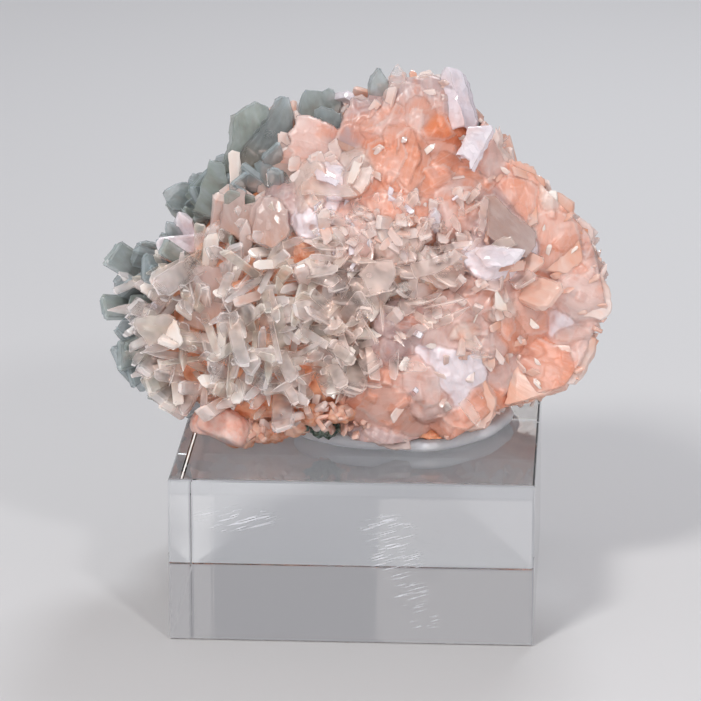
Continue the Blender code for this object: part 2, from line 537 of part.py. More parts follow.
def main():
    for thing in list(bpy.data.objects):
        bpy.data.objects.remove(thing, do_unlink=True)
    parts = bpy.data.collections.new("stilbite cluster")
    cutters = bpy.data.collections.new("cutters")
    for collection in (parts, cutters):
        bpy.context.scene.collection.children.link(collection)
    make_block(parts)
    make_putty(parts)
    make_cluster(parts, cutters)


main()
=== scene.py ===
# %% [markdown]
# # A stilbite cluster on a clear block
#
# Stilbite grows as flat blades that lie side by side like the pages of a book, and many such books
# spread into sheaves. This lesson dresses a plain solid model of one cluster: cream and grey blades in
# front, salmon sheaves behind them, a lump of putty below and an acrylic block that it all stands on.
# The solid model is loaded first, because every later piece has to stay inside its box.

# %% Load the solid model
import math

import bpy
import numpy as np
from mathutils import Matrix, Vector


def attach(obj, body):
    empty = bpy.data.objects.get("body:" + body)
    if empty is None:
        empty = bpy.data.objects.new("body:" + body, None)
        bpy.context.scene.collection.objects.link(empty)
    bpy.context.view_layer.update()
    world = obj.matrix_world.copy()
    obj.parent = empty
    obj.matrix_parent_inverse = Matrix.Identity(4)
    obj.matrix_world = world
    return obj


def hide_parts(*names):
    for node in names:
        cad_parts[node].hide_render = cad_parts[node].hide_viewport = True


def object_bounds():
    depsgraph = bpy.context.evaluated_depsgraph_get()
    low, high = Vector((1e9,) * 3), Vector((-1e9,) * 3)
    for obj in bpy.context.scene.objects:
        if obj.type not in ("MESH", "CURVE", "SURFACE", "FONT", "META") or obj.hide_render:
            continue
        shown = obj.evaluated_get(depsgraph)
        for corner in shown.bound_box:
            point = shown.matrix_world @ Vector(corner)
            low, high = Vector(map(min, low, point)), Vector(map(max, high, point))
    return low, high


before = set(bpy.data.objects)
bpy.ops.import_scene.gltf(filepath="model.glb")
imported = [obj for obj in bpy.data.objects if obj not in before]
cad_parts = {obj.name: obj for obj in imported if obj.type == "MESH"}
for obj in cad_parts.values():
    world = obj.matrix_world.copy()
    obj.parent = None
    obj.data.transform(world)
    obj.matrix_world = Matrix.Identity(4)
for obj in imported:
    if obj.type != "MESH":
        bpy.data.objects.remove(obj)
cad_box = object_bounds()
MM = 0.001
low, high = (np.array(corner) / MM for corner in cad_box)
print("solid model, mm:", np.round(high - low, 1))

# %% [markdown]
# ## Places as they are seen
#
# The crystals are placed one by one, so the easiest numbers to read are those of a picture: u to the right
# and v upward, in millimetres, in a plane that is square to the line of sight, and the depth behind that
# plane. One function turns such a place into a place on the object. It could be left to a tracked empty and
# a parent, but then nothing could be worked out as whole arrays.

# %% The picture plane
LOOK_TURN = math.radians(3.4)
LOOK_TILT = math.radians(16.0)
LOOK_DISTANCE = 970.0
LOOK_AT = np.array((-2.85, 9.1, 49.8))
RIGHT = np.array((math.cos(LOOK_TURN), math.sin(LOOK_TURN), 0.0))
UP = np.array((
    -math.sin(LOOK_TURN) * math.sin(LOOK_TILT),
    math.cos(LOOK_TURN) * math.sin(LOOK_TILT),
    math.cos(LOOK_TILT),
))
AWAY = np.cross(UP, RIGHT)


def sight(u, v, depth):
    """A place on the object: across and up the picture, spread with distance, plus the depth."""
    u, v, depth = (np.asarray(value, float)[..., None] for value in (u, v, depth))
    return LOOK_AT + (RIGHT * u + UP * v) * (1 + depth / LOOK_DISTANCE) + AWAY * depth


def seen(points):
    """The u, v and depth of a place on the object, which undoes sight()."""
    offset = points - LOOK_AT
    depth = offset @ AWAY
    spread = 1 + depth / LOOK_DISTANCE
    return (offset @ RIGHT) / spread, (offset @ UP) / spread, depth


print("the picture's centre on the object:", LOOK_AT)

# %% [markdown]
# ## The core
#
# Everything grows from a lumpy crust. Its shape is a lens whose rim follows the cluster's outline, so
# it is a function of two parameters: an angle that goes round the middle, and a swing that goes from
# the nearest point over the rim to the farthest. The outline is a short list of places with, beside
# each one, how far the crust stays inside the crystals' tips and how boxy its bulge is there. The
# bottom is pressed flat where it sits on the putty.

# %% The core's two-parameter surface
HEART = (-2.0, 14.0)
CORE_FRONT = 28.0
CORE_BACK = 25.0
RIM_DEPTH = -7.0
RIM_SLOPE = -0.2
CORE_LUMP = 1.1
LUMPS_ROUND = 7
LUMPS_OVER = 5
RIM_LIMIT = 0.985
NORMAL_STEP = 0.01
PUTTY_TOP = 38.6
CORE_FLOOR = 39.0
SILHOUETTE = np.array((
    (56, 9, 9, 2.2), (54.5, 17.5, 8, 2.2), (52.5, 25, 7, 2.2), (48, 30, 6, 2.2), (44, 34, 5, 2.2),
    (40, 38.5, 5, 2.2), (34, 41.5, 5, 2.3), (30.5, 48, 8, 2.4), (25, 58, 11, 2.5), (21.5, 61.5, 12, 2.5),
    (16, 59.5, 9, 2.5), (10, 60, 10, 2.5), (3, 55, 7, 2.5), (-4, 56, 9, 2.5), (-13, 54.5, 10, 2.5),
    (-22, 53, 12, 2.6), (-26, 44, 7, 2.7), (-31, 40, 7, 2.8), (-39, 34.5, 10, 2.9), (-37, 28, 6, 3.0),
    (-42, 24, 6, 3.2), (-50, 21, 8, 3.3), (-52, 14, 9, 3.4), (-53, 9, 9, 3.5), (-50, 2, 7, 3.5),
    (-48.5, -5, 7, 3.5), (-42, -9, 5, 3.8), (-36, -13, 4, 4.2), (-33, -20, 5, 4.6), (-26, -22, 5, 5.0),
    (-15, -19.5, 3, 5.0), (-5, -19, 3, 5.0), (5, -21, 4, 5.0), (15, -23, 6, 4.6), (25, -18.5, 4, 4.2),
    (31, -14, 4, 3.6), (40, -10, 4, 3.0), (47, -8, 5, 2.6), (51, -2, 6, 2.4), (53, 3, 8, 2.3),
))


def from_heart(u, v):
    """The direction and the distance of places in the picture, from the core's middle."""
    across, up = np.asarray(u, float) - HEART[0], np.asarray(v, float) - HEART[1]
    return np.arctan2(up, across), np.hypot(across, up)


def around(angle):
    """The silhouette's radius, the core's radius and its boxiness in each direction from the heart."""
    corner, radius = from_heart(*SILHOUETTE[:, :2].T)
    reach, inset, boxy = (
        np.interp(angle, corner, values, period=2 * math.pi)
        for values in (radius, SILHOUETTE[:, 2], SILHOUETTE[:, 3])
    )
    return reach, reach - inset, boxy


def core_surface(angle, swing):
    """Picture radius: the outline's, times sin(swing) to the power 2 / boxy. Depth: cos(swing) to the
    same power, times the bulge in front or behind. Sine waves add lumps."""
    _, radius, boxy = around(angle)
    side = np.abs(np.sin(swing)) ** (2 / boxy)
    ahead = np.sign(np.cos(swing)) * np.abs(np.cos(swing)) ** (2 / boxy)
    lump = CORE_LUMP * np.sin(swing) * np.sin(LUMPS_ROUND * angle + 1) * np.sin(LUMPS_OVER * swing + 2)
    u = HEART[0] + (side * radius + lump) * np.cos(angle)
    v = HEART[1] + (side * radius + lump) * np.sin(angle)
    depth = RIM_DEPTH + RIM_SLOPE * (v - HEART[1]) - np.where(ahead > 0, CORE_FRONT, CORE_BACK) * ahead
    points = sight(u, v, depth)
    points[..., 2] = np.maximum(points[..., 2], CORE_FLOOR)
    return points


def face_depth(u, v):
    """Depth of the core's front face behind each place of the picture."""
    angle, distance = from_heart(u, v)
    _, radius, boxy = around(angle)
    share = np.minimum(distance / radius, RIM_LIMIT)
    rise = np.asarray(v, float) - HEART[1]
    return RIM_DEPTH + RIM_SLOPE * rise - CORE_FRONT * (1 - share ** boxy) ** (1 / boxy)


def core_normal(angle, swing):
    """Outward directions, from the cross product of two short steps along the surface."""
    here = core_surface(angle, swing)
    across = core_surface(angle + NORMAL_STEP, swing) - here
    along = core_surface(angle, swing + NORMAL_STEP) - here
    normal = np.cross(along, across)
    normal /= np.linalg.norm(normal, axis=-1, keepdims=True) + 1e-9
    heart = sight(*HEART, RIM_DEPTH)
    return here, normal * np.where(np.sum(normal * (here - heart), axis=-1) < 0, -1, 1)[..., None]


print("the core's front face at the heart is", float(face_depth(*HEART)), "mm deep")

# %% [markdown]
# ## From arrays to a mesh
#
# A mesh can be filled one vertex at a time, but a whole array at once is faster and shorter. This
# helper takes the corners and the faces as arrays, and any number of named values per corner, which a
# material can read later: how far along its crystal a corner is, or a crystal's own random number.

# %% Mesh helper
SHARP = math.radians(28)


def unit(vectors):
    """Vectors divided by their length."""
    return vectors / (np.linalg.norm(vectors, axis=-1, keepdims=True) + 1e-12)


def turned(first, second, cos, sin):
    """Two square directions, or coordinates, turned by the angle that has this cosine and sine."""
    return first * cos + second * sin, second * cos - first * sin


def mesh_piece(name, corners, faces, values=None, sharp=SHARP):
    """An object from corners in mm and lists of face arrays, each with a fixed number of sides."""
    mesh = bpy.data.meshes.new(name)
    loops = np.concatenate([np.ravel(block) for block in faces]).astype(np.int32)
    sides = np.concatenate([np.full(len(block), block.shape[1]) for block in faces]).astype(np.int32)
    mesh.vertices.add(len(corners))
    mesh.vertices.foreach_set("co", np.ravel(corners * MM).astype(np.float32))
    mesh.loops.add(len(loops))
    mesh.loops.foreach_set("vertex_index", loops)
    mesh.polygons.add(len(sides))
    starts = (np.cumsum(sides) - sides).astype(np.int32)
    mesh.polygons.foreach_set("loop_start", starts)
    mesh.update(calc_edges=True)
    mesh.validate()
    for key, data in (values or {}).items():
        kind, field = ("FLOAT_VECTOR", "vector") if data.ndim == 2 else ("FLOAT", "value")
        attribute = mesh.attributes.new(key, kind, "POINT")
        attribute.data.foreach_set(field, np.ravel(data).astype(np.float32))
    mesh.shade_smooth()
    if sharp is not None:
        mesh.set_sharp_from_angle(angle=sharp)
    piece = bpy.data.objects.new(name, mesh)
    bpy.context.scene.collection.objects.link(piece)
    return piece


def dress(piece, node, material):
    """The four lines that every new piece needs."""
    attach(piece, "root")
    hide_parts(node)
    piece.data.materials.clear()
    piece.data.materials.append(material)
    mesh = piece.data
    mesh.calc_loop_triangles()
    print(piece.name, len(mesh.loop_triangles), "triangles")


print("corners that meet at more than", round(math.degrees(SHARP)), "degrees stay sharp")

# %% [markdown]
# ## One blade
#
# A stilbite blade is a flat prism with bevelled sides and a tapered tip. It could be a cube with a
# Bevel modifier, a thousand times over. Here all blades are one surface of two parameters: a corner
# number round the section, and a station along the length. The section is a flattened octagon that
# every blade shares, and the stations say how wide and thick each blade is there, so a thousand blades
# are one numpy sum.

# %% Blades as arrays
SECTION = np.array((
    (1.0, 0.3), (0.84, 1.0), (-0.84, 1.0), (-1.0, 0.3),
    (-1.0, -0.3), (-0.84, -1.0), (0.84, -1.0), (1.0, -0.3),
))
# The root's share of the width, where the taper starts, and the end's share of width and thickness.
ENDINGS = {
    "point": (0.85, 0.74, 0.14, 0.3),
    "chisel": (0.9, 0.9, 0.62, 0.25),
    "round": (0.88, 0.9, 0.7, 0.45),
    "blunt": (0.9, 0.955, 0.84, 0.66),
}
ENDING_NAMES = tuple(ENDINGS)
TIP_STATION = 0.975
TAPER_END = 0.97
CAP_WIDTH = 0.86
CAP_THICK = 0.7
SIDE_JITTER = 0.03
END_JITTER = 0.012


def blades(root, tip, width, thick, turn, ending, skew, bow, noise):
    """Corners = root + axis * station + broad * section x * half width + edge * section y * half
    thickness, with the section turned about the axis, narrowed by the taper, bowed by a parabola, cut
    off aslant at the tip and shifted a little by a random generator. All arguments but that one are
    arrays with one row a blade."""
    count = len(root)
    shape = np.array([ENDINGS[ENDING_NAMES[kind]] for kind in ending])
    root_share, shoulder, end_width, end_thick = shape.T[..., None]
    zero = np.zeros((count, 1))
    middle = (shoulder + TAPER_END) / 2
    station = np.hstack((zero, shoulder, middle, zero + TIP_STATION, zero + 1.0))
    half_way = 0.25 + 0.75 * (1 + end_width) / 2
    wide = np.hstack((root_share + zero, zero + 1, half_way, end_width + 0.03, end_width * CAP_WIDTH))
    deep = np.hstack((
        root_share + zero, zero + 1, (1 + end_thick) / 2 + 0.08, end_thick + 0.04, end_thick * CAP_THICK,
    ))
    axis = tip - root
    length = np.linalg.norm(axis, axis=1, keepdims=True)
    axis = axis / length
    broad = unit(np.cross(axis, AWAY) + 1e-6)
    edge = np.cross(axis, broad)
    broad, edge = turned(broad, edge, np.cos(turn)[:, None], np.sin(turn)[:, None])
    across = SECTION[None, None, :, 0] * wide[..., None] * width[:, None, None] / 2
    through = SECTION[None, None, :, 1] * deep[..., None] * thick[:, None, None] / 2
    along = station[..., None] * length[:, None] + zero[..., None] * across
    along = along + skew[:, None, None] * across * (station ** 4)[..., None]
    through = through + (bow * length[:, 0])[:, None, None] * (station ** 2)[..., None]
    across = across + noise.normal(0, SIDE_JITTER, across.shape) * width[:, None, None] / 2
    upper = (station > 0.5)[..., None]
    along = along + noise.normal(0, END_JITTER, across.shape) * length[:, None] * upper
    corners = (root[:, None, None] + along[..., None] * axis[:, None, None]
               + across[..., None] * broad[:, None, None] + through[..., None] * edge[:, None, None])
    own = np.stack((across, through, along), axis=-1)
    # The rim marks the narrow sides and the tip, where the finish paints a highlight and lets less light
    # through.
    rim = np.maximum(np.abs(SECTION[:, 0]) > 0.9, (station > 0.99)[..., None]) + 0.0 * across
    return corners, own, rim, station


def blade_faces(count, rings, sides):
    """Four-sided faces between neighbouring stations, and a cap on each end, for every blade."""
    first = np.arange(count)[:, None, None] * rings * sides
    ring = np.arange(rings - 1)[None, :, None] * sides
    here = np.arange(sides)[None, None, :]
    beside = (here + 1) % sides
    walls = np.stack((first + ring + here, first + ring + beside,
                      first + ring + sides + beside, first + ring + sides + here), axis=-1)
    start = np.arange(count)[:, None] * rings * sides
    foot = start + np.arange(sides)[::-1]
    head = start + (rings - 1) * sides + np.arange(sides)
    return [walls.reshape(-1, 4), foot, head]


print("a blade has", 4 * len(SECTION) + 2, "faces")

# %% [markdown]
# ## Crystals read from the photograph
#
# The crystals that a person would recognise are placed one by one. Each row gives the root's u and v,
# the tip's u and v, the width, the thickness, how far the tip leans towards the viewer, the turn about
# its own length in degrees, how far behind the core's face it stands, its ending, its finish, and how
# many leaves it is made of, because most large stilbite crystals are bundles of leaves.

# %% Rows by region
LEFT_BACK = (
    (-42, 15, -52, 21.3, 6.5, 3, 0, 10, 5, "blunt", "slate", 2),
    (-42, 17, -45.5, 23.6, 7, 3, 0, -10, 6, "point", "slate", 2),
    (-43, 9, -53.6, 9.3, 5.5, 3, 1, 20, 4, "blunt", "slate", 2),
    (-43, 12, -51, 15, 5, 3, 2, 0, 4, "point", "slate", 1),
    (-42, 4, -50.8, 4.5, 5, 3, 1, 20, 4, "point", "slate", 2),
    (-41, 1, -50.3, -1.5, 6.5, 4, 1, 10, 4, "blunt", "slate", 2),
    (-41, -1, -48.3, -6.2, 5, 3, 1, 0, 4, "blunt", "slate", 2),
    (-39, -3, -46, -7, 4.5, 3, 0, 0, 5, "blunt", "slate", 1),
    (-37, -5, -41.5, -11.2, 5, 3, 0, 0, 4, "blunt", "slate", 2),
    (-34, -8, -38.2, -13.8, 5, 3, 1, 0, 3, "blunt", "rose", 2),
    (-43, 12, -49, 14.3, 5, 2.5, 3, -30, 2, "chisel", "slate", 1),
    (-34, 14, -45, 18, 6, 3, 1, 20, 2, "blunt", "slate", 2),
    (-29, 31, -40.5, 34.2, 6.5, 2.5, 0, 0, 3, "point", "slate", 2),
    (-28, 32, -32.6, 37.6, 5.5, 2.5, 0, 0, 4, "blunt", "slate", 2),
    (-34, 22, -36.9, 29.8, 4.2, 1.8, 2, 0, 0, "point", "pearl", 1),
    (-32.5, 25, -35.6, 31, 3.5, 2, 0, 0, 2, "point", "slate", 1),
    (-35, 21, -39.7, 27.8, 3.2, 1.6, 1, 0, 1, "point", "slate", 1),
    (-35, 19, -42, 23.8, 3.5, 1.6, 1, 0, 2, "point", "slate", 1),
    (-5.8, 53.6, 0.5, 54.2, 3.2, 1.4, 3, 60, 2, "blunt", "pearl", 1),
    (-22.6, 19, -22.4, 28.2, 3, 1.6, 3, 0, 0, "point", "rose", 1),
    (-28.5, 25, -27.2, 34, 5, 3, 2, 20, 0, "round", "rose", 2),
)
CREST = (
    (6, 46, 6.2, 60.8, 4.8, 2.6, 0, 10, 1, "point", "slate", 1),
    (10, 47, 10, 61.2, 4.8, 2.4, 1, 0, 2, "point", "haze", 1),
    (13.3, 49, 13.5, 58.9, 3.4, 2, 1, 0, 2, "round", "haze", 1),
    (16.2, 48, 16.1, 60.3, 4.2, 2.4, 1, 0, 2, "round", "haze", 2),
    (18.8, 47, 18.7, 59, 3.8, 2.6, 2, 0, 1, "round", "haze", 1),
)
CENTRE = (
    (-1.4, 35.5, 2.4, 42.2, 2.5, 1.5, 5, 0, 0, "point", "rose", 1),
    (0.2, 34.8, 2.1, 29.2, 2.4, 1.5, 5, 0, 0, "round", "haze", 1),
    (-5.4, 21.5, -5.8, 30.3, 3, 1.5, 5, 0, 0, "chisel", "rose", 1),
    (8.2, 21, 5, 27.8, 2.7, 1.3, 5, 0, 0, "round", "haze", 1),
    (17.4, 24, 18.4, 30.5, 2.9, 1.8, 5, 0, 0, "point", "pearl", 1),
    (33, 19, 38.4, 14.4, 5, 1.8, 3, 0, 0, "round", "haze", 1),
    (30.6, 20, 30.2, 12.4, 3.6, 1.5, 4, 0, 0, "round", "haze", 2),
    (22, 20, 20, 14.4, 5.5, 1.8, 4, 0, 0, "round", "haze", 2),
)
FRONT_LEFT = (
    (-30.5, 23.4, -41.4, 22.2, 4.2, 1.8, 4, 0, 0, "chisel", "pearl", 2),
    (-28.5, 21.5, -42.6, 12.4, 5, 2, 6, 0, 0, "chisel", "haze", 2),
    (-36, 15.2, -34.6, 8.2, 2.3, 1.4, 6, 0, 0, "point", "haze", 1),
    (-40, 5.5, -47, 10, 3.8, 2.4, 3, 0, 0, "round", "haze", 1),
    (-45.5, 7.3, -41.4, 10.2, 1.9, 1.2, 7, 0, 0, "blunt", "pearl", 1),
    (-39, 6.6, -47.3, 5.8, 2.8, 1.4, 6, 0, 0, "point", "haze", 1),
    (-41, -0.5, -45.8, 5, 3, 1.4, 4, 0, 0, "chisel", "haze", 1),
    (-36.5, 6, -39.4, 1.6, 4.2, 1.4, 6, 0, 0, "blunt", "cream", 1),
    (-40.5, -0.5, -44.7, -4.8, 3.8, 1.7, 4, 0, 0, "blunt", "haze", 1),
    (-38, -4, -43.2, -7.4, 4.6, 3, 4, 0, 0, "chisel", "haze", 1),
    (-37.5, -5.5, -41.6, -10, 4.4, 2.4, 4, 0, 0, "blunt", "haze", 1),
    (-36, -7, -39.3, -11.8, 3.6, 2.2, 4, 0, 0, "blunt", "haze", 1),
    (-34.5, -8, -36.2, -13.6, 2.8, 1.8, 4, 0, 0, "point", "haze", 1),
    (-29.5, -8.6, -36.6, -8, 3, 1.6, 5, 0, 0, "round", "haze", 1),
    (-29.5, 8, -25.6, 17.2, 2.3, 1.2, 6, 0, 0, "chisel", "haze", 1),
    (-26.6, 10.6, -23, -3, 3.2, 1.2, 7, 0, 0, "round", "haze", 1),
    (-17.6, 12.6, -25.6, 10.1, 2.3, 1.2, 6, 0, 0, "chisel", "rose", 1),
    (-19, 15.5, -17.5, 7.6, 1.8, 1, 7, 0, 0, "chisel", "haze", 1),
    (-17, 13, -13.3, 18, 2.5, 1.1, 5, 0, 0, "chisel", "haze", 1),
    (-9, 12.5, -10.6, 17.5, 3.2, 1.3, 5, 0, 0, "round", "rose", 1),
    (0, 9, -12, 8.7, 4.4, 1.6, 6, 0, 0, "round", "haze", 1),
    (-19.5, 6, -12.5, 8.2, 4, 1.2, 3, 0, 0, "round", "rose", 1),
    (-17.3, 2.8, -17.8, -7.2, 1.8, 1.1, 7, 0, 0, "point", "haze", 1),
    (-16, 1.8, -12.2, -6.5, 3.1, 1.3, 6, 0, 0, "chisel", "haze", 1),
    (-26, 3.2, -20.6, -3.8, 4.4, 1.8, 6, 0, 0, "round", "haze", 1),
    (-23.6, -6.2, -30.8, -3.1, 2.8, 1.3, 5, 0, 0, "chisel", "haze", 1),
    (-24.4, -4.4, -18, -7, 3.5, 1.4, 6, 0, 0, "blunt", "haze", 1),
    (-22, -11.2, -29.2, -7.8, 3.2, 1.4, 4, 0, 0, "chisel", "haze", 1),
    (-14.8, -8, -14.5, -17.2, 4.8, 2.2, 6, 0, 0, "round", "haze", 1),
    (-18.3, -12, -20.6, -14.6, 1.4, 0.8, 5, 0, 0, "point", "haze", 1),
    (-25.8, 5.2, -20.8, 9.2, 4.4, 1.3, 5, 0, 0, "round", "haze", 1),
    (-24.5, 14, -25, 22.4, 3.5, 1.8, 4, 0, 0, "blunt", "haze", 1),
    (-26, 22, -30.3, 21, 3, 1.2, 4, 0, 0, "chisel", "haze", 1),
    (-24, 23, -28.5, 25.3, 2.6, 1.2, 3, 0, 0, "chisel", "haze", 1),
    (-8.8, 4.2, 0.6, -2.2, 2.7, 1.3, 8, 0, 0, "chisel", "haze", 1),
    (-2, 5, 4.3, 12.2, 5.2, 1.8, 6, 0, 0, "round", "haze", 2),
    (1.5, 3, 3.2, 9.2, 3.6, 1.4, 6, 0, 0, "round", "haze", 1),
    (5, 2.8, 11.4, 9, 3.1, 1.4, 6, 0, 0, "chisel", "rose", 1),
    (0.5, 0.6, 6, 2.2, 1.5, 0.9, 7, 0, 0, "chisel", "haze", 1),
    (7.5, 18.5, 7.4, 11.8, 4.2, 1.4, 5, 0, 0, "round", "haze", 2),
    (2, 18, 5.2, 11.8, 4.8, 1.5, 5, 0, 0, "round", "haze", 2),
    (-3, 17, -2.5, 12.4, 4.2, 1.6, 5, 0, 0, "chisel", "haze", 1),
    (12, 20, 12.5, 15.7, 3.4, 1.2, 5, 0, 0, "chisel", "haze", 1),
    (13.5, 15, 11.2, 12.4, 2.8, 1.1, 5, 0, 0, "blunt", "haze", 1),
    (13.4, 13.5, 11.5, 7.7, 3.8, 1.4, 4, 0, 0, "point", "haze", 1),
    (13, 4.3, 14.8, 3.4, 1.4, 1, 8, 0, 0, "blunt", "pearl", 1),
    (21.5, 12.6, 24.4, 10.3, 1.7, 1, 5, 0, 0, "chisel", "rose", 1),
    (21, 12, 24.2, 15.6, 2, 1.1, 5, 0, 0, "blunt", "rose", 1),
    (18, 11.5, 19, 6.8, 2.4, 1.2, 6, 0, 0, "round", "haze", 1),
    (16.5, 10.5, 17.6, 5.8, 3, 1.3, 5, 0, 0, "round", "haze", 1),
    (2.6, 0, 5.2, -4.4, 4.6, 1.8, 6, 0, 0, "round", "haze", 1),
    (-5.2, -1, -1.4, -8, 3.2, 1.7, 7, 0, 0, "chisel", "haze", 2),
    (-7, -2.5, -3.8, -9, 4.2, 1.6, 5, 0, 0, "round", "haze", 1),
    (2.2, -1, 0.8, -8.7, 4.8, 1.8, 6, 0, 0, "round", "haze", 2),
)
RIGHT_SIDE = (
    (43, 7, 51.9, 5.4, 4.4, 3, 0, 0, 1, "blunt", "rose", 1),
    (33, 15, 44.6, 11, 7, 3.6, 3, -10, 0, "round", "salmon", 2),
    (34, 21, 40.5, 17.4, 5.5, 3, 3, 0, 0, "round", "salmon", 2),
)
LOWER = (
    (-27.6, -11.4, -31.4, -13.6, 3.4, 2.6, 3, 0, -3, "blunt", "rose", 1),
    (12.6, -10, 14.6, -8, 1.2, 0.8, 8, 0, -2, "blunt", "pearl", 1),
)
READ_ROWS = LEFT_BACK + CREST + CENTRE + FRONT_LEFT + RIGHT_SIDE + LOWER
FINISHES = ("haze", "cream", "rose", "salmon", "ember", "taupe", "slate", "pearl")
print(len(READ_ROWS), "crystals read from the photograph")

# %% [markdown]
# ## Plates with an outline of their own
#
# The largest crystals are plates whose outline is what one recognises, so each is written down as the
# corners of that outline, read in the picture's millimetres. A plate is then a surface of two
# parameters: the place along the outline, which is made slightly ragged, and the step through the
# thickness, where the outline is drawn in at both ends for a bevel. It lies nearly along the core's
# face, and thick ones are a pile of pages.
#
# Each row gives the finish, the number of pages, how far its face stands in front of the core, the
# thickness, two extra slopes, the direction of its grooves, which is an angle or the point that they
# spread from, and the outline.

